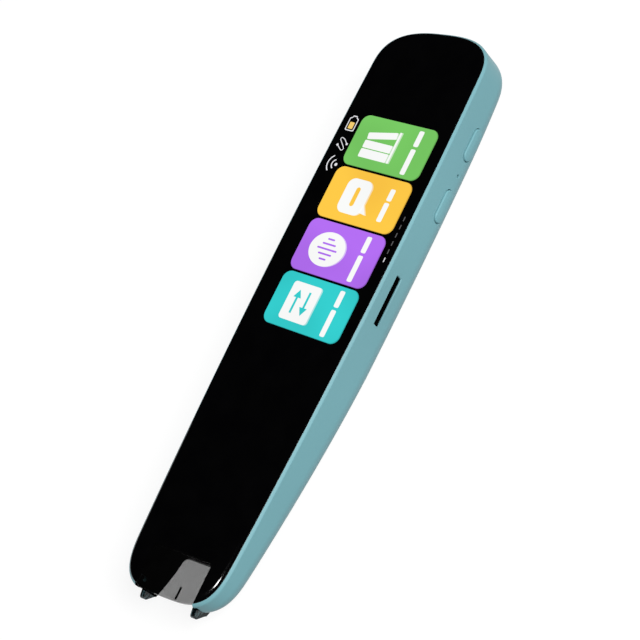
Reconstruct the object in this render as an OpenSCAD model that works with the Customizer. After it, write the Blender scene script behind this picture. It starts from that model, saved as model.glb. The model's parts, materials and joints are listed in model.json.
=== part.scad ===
// Hand-held scanning translator: a flat pen with a full-length cover glass,
// two side buttons, a card slot, a loudspeaker grille and a sprung scan guide at its tip.
// Millimetres. The back rests on z = 0, the glass faces +Z, the tip points to -Y
// and the buttons are on the +X side. y = 0 is the middle of the glass.

/* [Body] */
// Length of the cover glass
glass_len = 150.3; // [140.3:1:160.3]
// Width of the cover glass at its widest place
glass_w = 33.5; // [32.9:0.1:36]
// Distance of the widest place from the top end of the glass
widest_from_top = 51.85; // [40:0.05:60]
// How much each side draws in, 75 mm from the widest place
side_crown = 1.7; // [1:0.1:2]
// Length of the rounding at each top corner
top_round = 10.45; // [9.5:0.05:12]
// Squareness of the top corners, 2 is an ellipse
top_square = 2.76; // [2.4:0.01:3.2]
// Length of the rounding at each tip corner
tip_round = 13.35; // [12.5:0.05:14]
// Squareness of the tip corners, 2 is an ellipse
tip_square = 3.47; // [3.2:0.01:4]
// Thickness over the rest face
body_t = 14; // [13.8:0.1:15.5]
// How far the back rises at the tip
tip_lift = 5.3; // [5:0.1:5.6]
// Length of the back that rises towards the tip
lift_len = 67; // [65:1:70]
// How far the back rises at the top end
top_lift = 1.4; // [0.8:0.1:1.8]
// Length of the back that rises towards the top end
top_lift_len = 31; // [28:1:34]
// Radius of the soft edge around the back
edge_r = 5.5; // [5.2:0.1:6]
// Wall of the housing
wall = 1.4; // [1.2:0.1:1.5]
// Rim of the housing that shows around the glass
rim = 0.55; // [0.53:0.01:0.65]
// Width of the bevel along the top of the rim
bevel_w = 0.45; // [0.3:0.05:0.45]
// Height of that bevel
bevel_h = 0.6; // [0.4:0.05:0.8]

/* [Front stack] */
// Thickness of the cover glass
glass_t = 1; // [0.8:0.1:1.1]
// Thickness of the black print under the glass
print_t = 0.1; // [0.05:0.05:0.15]
// Thickness of the tape that holds the glass
tape_t = 0.15; // [0.1:0.05:0.2]
// Width of the ledge that carries the glass
ledge_w = 1.65; // [1.5:0.05:1.9]
// Height of that ledge
ledge_t = 1; // [0.8:0.1:1.2]
// Gap around the glass
glass_gap = 0.05; // [0.03:0.01:0.05]
// How far the glass stands above the rim
glass_proud = 0.15; // [0.1:0.05:0.3]
// Width of the display panel
panel_w = 28; // [26:0.5:28.5]
// Length of the display panel
panel_len = 82; // [78:1:84]
// Distance of the display panel from the top end of the glass
panel_from_top = 13.15; // [12.65:0.25:13.9]
// Thickness of the display panel
panel_t = 1.2; // [1:0.1:1.3]
// Thickness of the backlight
backlight_t = 0.8; // [0.6:0.1:0.9]
// Dark border of the panel that the print covers
panel_border = 1.2; // [1:0.1:2]
// Thickness of the middle frame's plate
frame_t = 0.6; // [0.5:0.1:0.7]

/* [Side buttons] */
// Length of a button
button_len = 9.4; // [8:0.1:10]
// Height of a button
button_h = 3; // [2.6:0.1:3.2]
// How far a button stands out of the side
button_proud = 0.5; // [0.3:0.05:0.7]
// Travel of a button
button_travel = 0.4; // [0.25:0.05:0.45]
// Gap around a button in the wall
button_gap = 0.2; // [0.15:0.05:0.25]
// Distance of the upper button's middle from the top end of the glass
button_from_top = 24.45; // [23:0.05:26]
// Distance between the middles of the two buttons
button_pitch = 16.7; // [15.5:0.1:18]
// Height of the buttons' middle above the rest face
button_z = 5.9; // [5.7:0.1:6.2]
// Diameter of the microphone hole between the buttons
mic_hole_d = 0.8; // [0.6:0.1:1]

/* [Boards and ports] */
// Height of the main board's underside above the rest face
board_z = 7.2; // [7:0.1:7.3]
// Thickness of a circuit board
board_t = 0.8; // [0.6:0.1:0.8]
// Width of the card slot
card_slot_w = 12.8; // [12.4:0.1:13.4]
// Height of the card slot
card_slot_h = 1.9; // [1.7:0.1:2]
// Distance of the card slot's middle from the top end of the glass
card_from_top = 68.55; // [66:0.05:70]
// Height of the ports' middle above the main board's top
port_rise = 1; // [0.95:0.05:1.05]
// Width of the charging port's shell
port_w = 8.94; // [8.9:0.01:9]
// Height of the charging port's shell
port_h = 3.26; // [3.2:0.01:3.3]
// Length of the charging port
port_len = 7.3; // [7:0.1:7.6]
// Width of the battery
battery_w = 22; // [18:0.5:22]
// Length of the battery
battery_len = 48; // [42:1:49]
// Thickness of the battery
battery_t = 4.6; // [4:0.1:4.6]
// Distance of the battery's upper end from the top end of the glass
battery_from_top = 50.15; // [49.15:0.25:51.9]
// Thickness of the foam under the battery
foam_t = 0.8; // [0.7:0.1:0.9]
// Length of that foam
foam_len = 29; // [24:1:29]
// How far the foam stays inside the battery's sides
foam_in = 2; // [1:0.5:4]
// Width of the main board
board_w = 27.2; // [26:0.1:27.4]
// Width of the tip board
tip_board_w = 24.8; // [23:0.1:25]
// Width of the shield can
can_w = 16; // [14:0.5:18]
// Length of the shield can
can_len = 20; // [16:0.5:21]
// Height of the shield can
can_h = 1.7; // [1.2:0.1:1.8]
// Distance of the shield can's middle from the top end of the glass
can_from_top = 38.15; // [37.65:0.25:39.9]

/* [Loudspeaker] */
// Distance of the loudspeaker's middle from the top end of the glass
speaker_from_top = 18.15; // [17.65:0.05:18.9]
// Diameter of the loudspeaker
speaker_d = 18.4; // [18:0.1:19]
// Thickness of the loudspeaker
speaker_t = 3.4; // [2.8:0.1:3.5]
// Diameter of a sound hole
sound_hole_d = 1.28; // [1:0.02:1.5]
// Distance between neighbouring sound holes
sound_hole_pitch = 2.7; // [2.6:0.02:2.8]

/* [Tip] */
// Width of the notch in the back of the tip
notch_w = 18; // [17.6:0.1:18.4]
// Distance of the notch's inner end from the tip of the glass
notch_len = 13.55; // [13.15:0.05:13.85]
// Gap between the scan guide and the notch's sides
guide_gap = 0.4; // [0.3:0.05:0.5]
// Travel of the scan guide when the tip is pressed on a page
guide_travel = 0.5; // [0.3:0.05:0.6]
// Thickness of the guide's side plates
guide_wall = 1.3; // [1.1:0.1:1.5]
// Width of the guide's cross bar
guide_bar = 1.5; // [1.3:0.1:2]
// Outer corner radius of the guide
guide_round = 3; // [2.6:0.1:3.2]
// Inner corner radius of the guide
guide_inner_round = 1.2; // [0.8:0.1:1.4]
// How far the guide's prongs stand out past the glass
prong_out = 1.5; // [1.3:0.05:1.8]
// Radius of the prongs' points
prong_nose = 0.8; // [0.6:0.05:0.9]
// Depth of the prongs' points below the glass
prong_depth = 3.9; // [3.8:0.1:4.2]
// Width of the clear sight window in the print
sight_w = 18.4; // [17.8:0.1:19]
// Distance of the sight window's upper edge from the tip of the glass
sight_len = 10.6; // [10.2:0.1:11.2]
// Thickness of the lens plate between the prongs
lens_t = 0.6; // [0.5:0.1:0.8]
// Depth of the lens plate's top below the glass
lens_depth = 4.8; // [4.7:0.1:5]
// Distance of the lens plate's rounded end from the tip of the glass
lens_back = 0.95; // [0.85:0.05:1.3]
// Radius of that end
lens_round = 14.8; // [13:0.2:17]
// Width of the aiming line on the lens plate
aim_w = 0.5; // [0.2:0.1:0.6]

/* [Hidden] */
$fn = 40;

teal = [0.45, 0.66, 0.69];
inky = [0.03, 0.03, 0.035];
smoke = [0.16, 0.22, 0.24];
board_green = [0.08, 0.26, 0.16];
steel = [0.72, 0.73, 0.75];
gold = [0.8, 0.66, 0.33];

eps = 0.01;
seat_gap = 0.05;                          // air between pieces that are laid on each other
room = 0.2;                               // air around a piece that is lowered into its place

// Ends of the glass and heights of the layers
top_y = glass_len / 2;
tip_y = -glass_len / 2;
widest_y = top_y - widest_from_top;
glass_z = body_t - glass_t;
rim_top = body_t - glass_proud;
print_z = glass_z - print_t;
ledge_z = print_z - tape_t;
panel_z = print_z - panel_t;
backlight_z = panel_z - backlight_t;
frame_z = backlight_z - frame_t;
board_top = board_z + board_t;
port_z = board_top + port_rise;

// Insets of the housing's faces from the edge of the glass
outer_in = -rim;
cavity_in = wall - rim;
ledge_in = ledge_w;
inside_in = ledge_w + room;

// Places along the body
panel_y = top_y - panel_from_top - panel_len / 2;
panel_end = panel_y - panel_len / 2;
speaker_y = top_y - speaker_from_top;
upper_button_y = top_y - button_from_top;
lower_button_y = upper_button_y - button_pitch;
mic_y = (upper_button_y + lower_button_y) / 2;
card_y = top_y - card_from_top;
battery_y = top_y - battery_from_top - battery_len / 2;
notch_y = tip_y + notch_len;
chamber_wall = 0.8;

// ---------------------------------------------------------------- shape of the body

// Half width of the glass at a station along the body
function half_w(y) = glass_w / 2 - side_crown * pow((y - widest_y) / 75, 2);

// Height of the back's middle at a station along the body
function back_z(y) =
    let (to_tip = max(0, (tip_y - rim + lift_len - y) / lift_len),
         to_top = max(0, (y - top_y - rim + top_lift_len) / top_lift_len))
    tip_lift * pow(to_tip, 1.5) + top_lift * pow(to_top, 2);

// Right-hand half of the plan outline from the tip's middle to the top's middle, inset by d
corner_steps = 13;
side_steps = 20;
function tip_point(a, d) =
    let (c = tip_round - d, y = tip_y + d + c - c * pow(sin(a), 2 / tip_square))
    [(half_w(y) - d) * pow(cos(a), 2 / tip_square), y];
function top_point(a, d) =
    let (c = top_round - d, y = top_y - d - c + c * pow(sin(a), 2 / top_square))
    [(half_w(y) - d) * pow(cos(a), 2 / top_square), y];
function right_side(d) = concat(
    [[0, tip_y + d]],
    [for (i = [1:corner_steps]) tip_point(90 - 90 * i / corner_steps, d)],
    [for (i = [1:side_steps - 1])
        let (y0 = tip_y + tip_round, y1 = top_y - top_round, y = y0 + (y1 - y0) * i / side_steps)
        [half_w(y) - d, y]],
    [for (i = [0:corner_steps - 1]) top_point(90 * i / corner_steps, d)],
    [[0, top_y - d]]);
half_n = 2 * corner_steps + side_steps + 1;
ring_n = 2 * half_n - 2;
function ring(d) =
    let (r = right_side(d))
    concat(r, [for (i = [half_n - 2:-1:1]) [-r[i][0], r[i][1]]]);

module outline(d) { polygon(ring(d)); }

// Pillow-shaped solid: outline inset by d, flat top with a bevel of that width and height,
// back raised by lift with a soft edge of radius r
fillet_steps = 6;
module pillow(d, lift, r, top, bevel = [0, 0]) {
    flat_rings = bevel[1] > 0 ? 2 : 1;
    levels = concat(
        bevel[1] > 0 ? [[d + bevel[0], 90, top]] : [],
        [[d, 90, top - bevel[1]]],
        [for (k = [0:fillet_steps]) let (a = 90 * k / fillet_steps) [d + r * (1 - cos(a)), a, 0]]);
    n = len(levels);
    points = [for (k = [0:n - 1]) for (p = ring(levels[k][0]))
        [p[0], p[1], k < flat_rings ? levels[k][2] : back_z(p[1]) + lift + r * (1 - sin(levels[k][1]))]];
    last = (n - 1) * ring_n;
    faces = concat(
        [[for (i = [0:ring_n - 1]) ring_n - 1 - i]],
        [for (k = [0:n - 2]) for (i = [0:ring_n - 1])
            let (a = k * ring_n + i, b = k * ring_n + (i + 1) % ring_n)
            each [[a, b, b + ring_n], [a, b + ring_n, a + ring_n]]],
        [[last, last + 1, last + ring_n - 1]],
        [for (i = [1:half_n - 3])
            let (a = last + i, b = last + i + 1, c = last + ring_n - i - 1, e = last + ring_n - i)
            each [[a, b, c], [a, c, e]]],
        [[last + half_n - 2, last + half_n - 1, last + half_n]]);
    polyhedron(points, faces, convexity = 6);
}

// ---------------------------------------------------------------- shared shapes

// Bar with round ends along Y, in the XY plane
module stadium(len, w) {
    square([w, len - w], center = true);
    for (s = [-1, 1]) translate([0, s * (len - w) / 2]) circle(d = w);
}

module rounded(size, r) {
    square([size[0], size[1] - 2 * r], center = true);
    square([size[0] - 2 * r, size[1]], center = true);
    for (sx = [-1, 1], sy = [-1, 1])
        translate([sx * (size[0] / 2 - r), sy * (size[1] / 2 - r)]) circle(r = r);
}

// Upright box: centre in the plan, size, underside and height
module block(at, size, z, h) {
    translate([at[0] - size[0] / 2, at[1] - size[1] / 2, z]) cube([size[0], size[1], h]);
}

module disc(at, d, z, h) { translate([at[0], at[1], z]) cylinder(d = d, h = h); }

// Shape lying in the YZ plane, pushed out along +X from x0
module toward_x(x0, h) { translate([x0, 0, 0]) rotate([90, 0, 90]) linear_extrude(h) children(); }

// Inner face of the side wall at a station
function wall_x(y) = half_w(y) - cavity_in;

// ---------------------------------------------------------------- housing

boss_top_y = top_y - 9.15;
boss_low_y = panel_end - 7;
boss_x = 11.7;
boss_d = 3.6;
boss_foot_d = 5.2;
screw_d = 1.4;
bosses = [[-boss_x, boss_low_y], [boss_x, boss_low_y], [-boss_x, boss_top_y], [boss_x, boss_top_y]];

key_board_t = 0.5;
key_board_x = half_w(upper_button_y) - cavity_in - 3.1;
key_board_len = button_pitch + button_len + 2.4;
key_board_y = mic_y;
key_board_h = 4.4;
key_groove = 0.1;
key_rib = 1;

pad_z = back_z(speaker_y + speaker_d / 2) + wall + 0.25;
mesh_t = 0.2;
gasket_t = 0.5;
well_wall = 1;
well_d = speaker_d + 2 * room;

post_d = 3;
tip_board_z = frame_z - 0.9;
tip_board_low = notch_y + 2;
tip_board_high = boss_low_y - 6.9;
post_x = tip_board_w / 2 - 1.8;
tip_posts = [for (s = [-1, 1], y = [tip_board_low + 5, tip_board_high - 2.5]) [s * post_x, y]];

switch_y = notch_y + 4.6;
switch_board_t = 0.6;
switch_board_w = 10;
switch_floor = back_z(notch_y + 3.4) + wall + 0.2;
switch_h = 1.6;
switch_board_h = switch_h + 0.2;

// Grid of holes with its corners and four diagonal neighbours of the middle left out
function has_hole(a, b) = abs(a) + abs(b) <= 4 && !(abs(a) == 1 && abs(b) == 1);

module sound_holes() {
    for (a = [-3:3], b = [-3:3])
        if (has_hole(a, b))
            disc([a * sound_hole_pitch, speaker_y + b * sound_hole_pitch], sound_hole_d, -1, pad_z + 2);
}

// Notch that opens the back of the tip, wider where it meets the end of the body
notch_flare = 1.3;
module notch_plan(w) {
    flare_y = notch_y - 5;
    corner = guide_round + guide_gap;
    translate([0, notch_y - corner]) {
        translate([-w / 2 + corner, 0]) square([w - 2 * corner, corner]);
        for (s = [-1, 1]) translate([s * (w / 2 - corner), 0]) circle(r = corner);
    }
    polygon(concat(
        [[-w / 2, notch_y - corner], [-w / 2, flare_y]],
        [for (t = [0.25:0.25:1]) [-w / 2 - notch_flare * t * t, flare_y + (tip_y - 4 - flare_y) * t]],
        [for (t = [1:-0.25:0.25]) [w / 2 + notch_flare * t * t, flare_y + (tip_y - 4 - flare_y) * t]],
        [[w / 2, flare_y], [w / 2, notch_y - corner]]));
}

module button_hole(y) {
    translate([0, y, button_z])
        toward_x(wall_x(y) - 1, wall + 3)
            rotate(90) stadium(button_len + 2 * button_gap, button_h + 2 * button_gap);
}

module card_hole() {
    translate([wall_x(card_y) - 1, card_y - card_slot_w / 2, port_z - card_slot_h / 2])
        cube([wall + 3, card_slot_w, card_slot_h]);
}

port_gap = 0.15;
module port_hole() {
    translate([0, top_y + rim + 1, port_z]) rotate([90, 0, 0])
        linear_extrude(wall + 2) rotate(90) stadium(port_w + 2 * port_gap, port_h + 2 * port_gap);
}

// Posts and ribs inside the housing, kept within the middle of its wall
module housing_ribs() {
    floor_in = wall / 2;
    intersection() {
        pillow(outer_in + floor_in, floor_in, edge_r - floor_in, body_t);
        inner_posts(floor_in);
    }
}

module inner_posts(floor_in) {
    for (p = bosses) {
        disc(p, boss_foot_d, back_z(p[1]) + floor_in, board_z - back_z(p[1]) - floor_in);
        disc(p, boss_d, board_z - eps, frame_z - board_z + eps);
    }
    for (p = tip_posts)
        disc(p, post_d, back_z(p[1]) + floor_in, tip_board_z - back_z(p[1]) - floor_in);
    // ribs that hold the ends of the side key board
    for (s = [-1, 1])
        block([key_board_x + key_board_t / 2, key_board_y + s * (key_board_len / 2 + key_groove)],
              [key_board_t + 2 * key_rib, 2 * key_rib], floor_in + 0.3, button_z - floor_in);
    // ribs that hold the ends of the tip switch board
    for (s = [-1, 1])
        block([s * (switch_board_w / 2 + key_groove), switch_y + switch_board_t / 2],
              [2 * key_rib, switch_board_t + 2 * key_rib],
              back_z(switch_y) + floor_in, switch_floor + switch_board_h - back_z(switch_y) - floor_in);
    // raised seat and ring of the loudspeaker
    difference() {
        disc([0, speaker_y], well_d + 2 * well_wall, floor_in + back_z(speaker_y),
             pad_z + mesh_t + gasket_t + speaker_t / 2 - floor_in - back_z(speaker_y));
        disc([0, speaker_y], well_d, pad_z, board_z);
    }
}

module rear_housing() {
    color(teal) difference() {
        union() {
            difference() {
                pillow(outer_in, 0, edge_r, rim_top, [bevel_w, bevel_h]);
                pillow(cavity_in, wall, edge_r - wall, ledge_z - ledge_t);
                translate([0, 0, body_t / 2]) linear_extrude(body_t) outline(ledge_in);
                translate([0, 0, ledge_z]) linear_extrude(body_t) outline(-glass_gap);
            }
            housing_ribs();
        }
        for (p = bosses) disc(p, screw_d - 0.2, frame_z - 4, 5);
        translate([key_board_x - key_groove, key_board_y - key_board_len / 2 - key_groove,
                   button_z - key_board_h / 2])
            cube([key_board_t + 2 * key_groove, key_board_len + 2 * key_groove, body_t]);
        translate([-switch_board_w / 2 - key_groove, switch_y - key_groove, switch_floor])
            cube([switch_board_w + 2 * key_groove, switch_board_t + 2 * key_groove, body_t]);
        sound_holes();
        button_hole(upper_button_y);
        button_hole(lower_button_y);
        card_hole();
        port_hole();
        translate([wall_x(mic_y) - 1, mic_y, button_z]) rotate([0, 90, 0])
            cylinder(d = mic_hole_d, h = wall + 3);
        translate([0, 0, -1]) linear_extrude(ledge_z - ledge_t + 1) notch_plan(notch_w);
        translate([-notch_w / 2, tip_y - 5, body_t / 2]) cube([notch_w, 5 + notch_len - 4, body_t]);
    }
}

// ---------------------------------------------------------------- front

module cover_glass() {
    color([0.1, 0.12, 0.13, 0.5]) translate([0, 0, glass_z]) linear_extrude(glass_t) outline(0);
}

sight_round = 1.4;
module sight_plan() {
    far = tip_y - 5;
    mid = (tip_y + sight_len + far) / 2;
    translate([0, mid]) rounded([sight_w, tip_y + sight_len - far], sight_round);
}

module print_mask() {
    color(inky) translate([0, 0, print_z]) linear_extrude(print_t) difference() {
        outline(0.1);
        sight_plan();
        translate([0, panel_y]) rounded([panel_w - 2 * panel_border, panel_len - 2 * panel_border], 1.5);
    }
}

module glass_tape() {
    color([0.12, 0.12, 0.12]) translate([0, 0, ledge_z]) linear_extrude(tape_t) difference() {
        outline(0.15);
        outline(ledge_in - 0.15);
        translate([-sight_w / 2, tip_y - 1]) square([sight_w, 4]);
    }
}

module display_panel() {
    color([0.06, 0.06, 0.09]) block([0, panel_y], [panel_w, panel_len], panel_z, panel_t);
}

module backlight() {
    color([0.9, 0.9, 0.88])
        block([0, panel_y + 1], [panel_w - 0.4, panel_len - 2.4], backlight_z, backlight_t);
}

flex_x = 7;
flex_w = 9;
flex_t = 0.15;
flex_drop_y = panel_end - 1.2;
connector_h = 0.9;
module display_flex() {
    color([0.75, 0.5, 0.15]) {
        translate([flex_x - flex_w / 2, flex_drop_y, panel_z + 0.4]) cube([flex_w, 1.2, flex_t]);
        translate([flex_x - flex_w / 2, flex_drop_y, board_top + connector_h])
            cube([flex_w, flex_t, panel_z + 0.4 + flex_t - board_top - connector_h]);
    }
}

frame_bar = 6;
frame_pitch = (panel_len - frame_bar - 1) / 5;
frame_bottom = boss_low_y - 4;
frame_top = boss_top_y + 3;
module mid_frame() {
    color([0.5, 0.51, 0.53]) difference() {
        union() {
            translate([0, 0, frame_z]) linear_extrude(frame_t) intersection() {
                outline(inside_in);
                translate([-glass_w, frame_bottom]) square([2 * glass_w, frame_top - frame_bottom]);
            }
            for (p = bosses) disc(p, boss_foot_d, board_top, frame_z - board_top + eps);
        }
        for (p = bosses) {
            disc(p, screw_d + 0.2, frame_z - 1, 3);
            disc(p, boss_d + 0.3, board_top - 1, frame_z - board_top + 1);
        }
        translate([flex_x - flex_w / 2 - 0.5, flex_drop_y - 0.5, frame_z - 1]) cube([flex_w + 1, 1.5, 3]);
        block([0, frame_top], [port_w + 2, 4], frame_z - 1, 3);
        // openings that lighten the plate
        for (i = [-2:2])
            block([0, panel_y + i * frame_pitch], [panel_w - 10, frame_pitch - frame_bar],
                  frame_z - 1, 3);
    }
}

screw_head_t = 0.6;
module frame_screws() {
    color(steel) for (p = bosses) difference() {
        union() {
            disc(p, 2.6, frame_z + frame_t, screw_head_t);
            disc(p, screw_d - 0.2, frame_z - 3, 3 + frame_t + eps);
        }
        disc(p, 1, frame_z + frame_t + screw_head_t / 2, 1);
    }
}

// ---------------------------------------------------------------- boards

board_low = frame_bottom;
board_high = top_y - 4.15;
lead_notch_x = -5.3;
module main_board() {
    color(board_green) translate([0, 0, board_z]) linear_extrude(board_t) difference() {
        intersection() {
            translate([-board_w / 2, board_low]) square([board_w, board_high - board_low]);
            outline(inside_in);
        }
        for (p = bosses) translate(p) circle(d = boss_d + 0.5);
        translate([key_board_x - 0.6, key_board_y - key_board_len / 2 - 2])
            square([10, key_board_len + 4]);
        translate([-port_w / 2 - seat_gap, port_mouth - port_len - room])
            square([port_w + 2 * seat_gap, port_len + 2 * room]);
        translate([lead_notch_x - 2, board_low - 1])
            square([4, battery_y - battery_len / 2 + 1 - board_low]);
    }
}

// Chips: middle x, distance from the board's upper end, width, length, height
chips = [[-7.5, 18, 5, 5, 0.9], [-8, 64, 7, 7, 1], [-6.5, 76, 9, 6, 0.9], [5, 84, 6, 5, 0.9],
         [3, 16, 4, 6, 0.8], [-9, 53, 3, 4, 0.7], [7, 46, 4, 3, 0.7]];
module board_chips() {
    color([0.12, 0.12, 0.13]) {
        for (c = chips) block([c[0], board_high - c[1]], [c[2], c[3]], board_top, c[4]);
        block([flex_x, flex_drop_y], [flex_w + 1, 2.6], board_top, connector_h);
    }
}

can_x = -1;
can_wall = 0.2;
module shield_can() {
    at = [can_x, top_y - can_from_top];
    color(steel) difference() {
        block(at, [can_w, can_len], board_top, can_h);
        block(at, [can_w - 2 * can_wall, can_len - 2 * can_wall], board_top - 1, can_h + 1 - can_wall);
    }
}

module antenna() { color([0.92, 0.9, 0.84]) block([-8.5, board_high - 1.2], [6, 2], board_top, 1.3); }

battery_z = wall + foam_t;
module battery_foam() {
    middle = battery_y + (battery_len - foam_len) / 2;
    color([0.2, 0.2, 0.2]) block([0, middle], [battery_w - 2 * foam_in, foam_len], wall, foam_t);
}

module battery() {
    color([0.75, 0.77, 0.8]) translate([0, battery_y, battery_z]) {
        linear_extrude(battery_t) rounded([battery_w, battery_len - 2], 1.2);
        translate([0, battery_len / 2 - 0.5, battery_t / 2])
            cube([battery_w - 3, 1, battery_t * 0.5], center = true);
        translate([0, 0.5 - battery_len / 2, battery_t / 2])
            cube([battery_w - 3, 1, battery_t * 0.5], center = true);
    }
}

lead_d = 0.9;
module battery_lead() {
    end_y = battery_y - battery_len / 2;
    low_z = battery_z + battery_t / 2;
    high_z = board_top + 0.7;
    color([0.75, 0.1, 0.1]) {
        for (x = [lead_notch_x - 0.7, lead_notch_x + 0.7]) translate([x, end_y - 1, 0]) {
            translate([0, 0, low_z]) rotate([-90, 0, 0]) cylinder(d = lead_d, h = 1);
            translate([0, 0, low_z]) sphere(d = lead_d);
            translate([0, 0, low_z]) cylinder(d = lead_d, h = high_z - low_z);
            translate([0, 0, high_z]) sphere(d = lead_d);
            translate([0, 0, high_z]) rotate([-90, 0, 0]) cylinder(d = lead_d, h = 2.6);
        }
        block([lead_notch_x, end_y + 3], [4.4, 3], board_top, 1.4);
    }
}

// ---------------------------------------------------------------- loudspeaker

module speaker_mesh() { color([0.1, 0.1, 0.1]) disc([0, speaker_y], speaker_d, pad_z, mesh_t); }

module speaker_gasket() {
    color([0.15, 0.15, 0.15]) difference() {
        disc([0, speaker_y], speaker_d, pad_z + mesh_t, gasket_t);
        disc([0, speaker_y], speaker_d - 3, 0, body_t);
    }
}

speaker_z = pad_z + mesh_t + gasket_t;
module speaker() {
    color([0.35, 0.35, 0.37]) difference() {
        union() {
            disc([0, speaker_y], speaker_d, speaker_z, speaker_t - 1.2);
            disc([0, speaker_y], speaker_d - 6, speaker_z, speaker_t);
        }
        disc([0, speaker_y], speaker_d - 2, speaker_z - 1, 1.8);
    }
}

module speaker_cone() {
    edge = speaker_d / 2 - 1.05;
    color([0.15, 0.15, 0.16]) translate([0, speaker_y, speaker_z]) rotate_extrude()
        polygon([[0, 0.75], [0, 0.6], [2.5, 0.35], [5.6, 0.3], [6.6, 0.6], [7.6, 0.3],
                 [edge, 0.3], [edge, 0.75]]);
}

// ---------------------------------------------------------------- side keys

switch_body = 0.8;
switch_nub = 0.2;
nub_x = key_board_x + key_board_t + switch_body + switch_nub;

module side_key_board() {
    color(board_green)
        translate([key_board_x, key_board_y - key_board_len / 2, button_z - key_board_h / 2 + seat_gap])
            cube([key_board_t, key_board_len, key_board_h]);
}

module key_switches() {
    color([0.8, 0.8, 0.78]) for (y = [upper_button_y, lower_button_y]) {
        translate([key_board_x + key_board_t, y - 2, button_z - 1.4]) cube([switch_body, 4, 2.8]);
        translate([nub_x - switch_nub, y, button_z]) rotate([0, 90, 0]) cylinder(d = 1.6, h = switch_nub);
    }
}

mic_t = 1;
module microphone() {
    color(gold) difference() {
        translate([key_board_x + key_board_t, mic_y - 1.4, button_z - 1.1]) cube([mic_t, 2.8, 2.2]);
        translate([key_board_x + key_board_t + mic_t - 0.3, mic_y, button_z]) rotate([0, 90, 0])
            cylinder(d = 0.5, h = 1);
    }
}

module mic_gasket() {
    from = key_board_x + key_board_t + mic_t;
    color([0.15, 0.15, 0.15]) translate([from, mic_y, button_z]) rotate([0, 90, 0]) difference() {
        cylinder(d = 2, h = wall_x(mic_y) - from - 2 * seat_gap);
        translate([0, 0, -1]) cylinder(d = 0.9, h = 10);
    }
}

// Button: cap, retaining ears behind the wall, and the post that reaches the switch
ear = 1.4;
ear_t = 0.6;
ear_gap = 0.4;
module side_button(y) {
    face = half_w(y) + rim + button_proud;
    back = wall_x(y) - ear_gap;
    post = nub_x + button_travel + seat_gap;
    crown = 0.25;
    color(teal) translate([0, y, button_z]) {
        toward_x(back - eps, face - crown - back + eps) rotate(90) stadium(button_len, button_h);
        toward_x(face - crown - eps, crown + eps)
            rotate(90) stadium(button_len - 2 * crown, button_h - 2 * crown);
        toward_x(back - ear_t, ear_t) rotate(90) stadium(button_len + 2 * ear, button_h);
        translate([post, 0, 0]) rotate([0, 90, 0]) cylinder(d = 1.8, h = back - post);
    }
}

module upper_button() { side_button(upper_button_y); }
module lower_button() { side_button(lower_button_y); }

// ---------------------------------------------------------------- ports

socket_len = 14.6;
module card_socket() {
    mouth = wall_x(card_y) - 0.5;
    socket_w = card_slot_w + 1.4;
    card_w = card_slot_w - 1.6;
    color(steel) difference() {
        translate([mouth - socket_len, card_y - socket_w / 2, board_top])
            cube([socket_len, socket_w, port_rise + card_slot_h / 2]);
        translate([mouth - socket_len + 1, card_y - card_w / 2, port_z - 0.5])
            cube([socket_len, card_w, 1]);
    }
}

port_mouth = top_y + rim - 0.4;
port_wall = 0.3;
module port_tube(w, h, from, to) {
    translate([0, to, port_z]) rotate([90, 0, 0]) linear_extrude(to - from) rotate(90) stadium(w, h);
}

module usb_shell() {
    back = port_mouth - port_len;
    color(steel) difference() {
        port_tube(port_w, port_h, back, port_mouth);
        port_tube(port_w - 2 * port_wall, port_h - 2 * port_wall, back - 1, port_mouth + 1);
    }
}

module usb_tongue() {
    back = port_mouth - port_len;
    color(inky) {
        port_tube(port_w - 2 * port_wall - 0.1, port_h - 2 * port_wall - 0.1, back, back + 1.6);
        translate([-3.3, back + 1.6 - eps, port_z - 0.35]) cube([6.6, port_len - 1.6 - 0.8, 0.7]);
    }
}

// ---------------------------------------------------------------- scanning head

chamber_roof = print_z - seat_gap;
prong_z = body_t - prong_depth;
lens_top = body_t - lens_depth;
view_w = 12;
view_low = back_z(notch_y) + 2.9;
view_high = lens_top - 0.5;
tongue_w = 2.4;
tongue_low = switch_floor + 0.3;
tongue_h = 0.8;

module scan_chamber() {
    low = back_z(notch_y) + wall + seat_gap;
    color(inky) difference() {
        intersection() {
            translate([0, 0, low]) linear_extrude(chamber_roof - low) difference() {
                translate([-notch_w / 2 - chamber_wall, tip_y])
                    square([notch_w + 2 * chamber_wall, notch_len + chamber_wall]);
                translate([-notch_w / 2, tip_y - 1]) square([notch_w, notch_len + 1]);
            }
            translate([0, 0, -1]) linear_extrude(body_t + 2) outline(inside_in);
            pillow(cavity_in + seat_gap, wall + seat_gap, edge_r - wall - seat_gap, body_t);
        }
        block([0, notch_y], [view_w, 4], view_low, view_high - view_low);
        block([0, notch_y], [tongue_w + 0.6, 4], tongue_low - 0.3, tongue_h + 0.6);
    }
}

module scan_window() {
    color([0.7, 0.75, 0.78, 0.5])
        translate([-view_w / 2 - 0.8, notch_y + chamber_wall, view_low - 0.4])
            cube([view_w + 1.6, 0.6, view_high - view_low + 0.8]);
}

camera_y = notch_y + 13;
camera_z = (view_low + view_high) / 2;
camera_w = 8;
camera_len = 8;
module camera_module() {
    under = 2.4;
    color([0.12, 0.12, 0.13])
        block([0, camera_y], [camera_w, camera_len], camera_z - under, tip_board_z - camera_z + under);
}

module camera_lens() {
    front = camera_y - camera_len / 2;
    color([0.1, 0.12, 0.2]) translate([0, front, camera_z]) rotate([90, 0, 0]) difference() {
        cylinder(d = 3.2, h = 3.4);
        translate([0, 0, 2.8]) cylinder(d1 = 1.4, d2 = 2.4, h = 0.61);
    }
}

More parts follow.
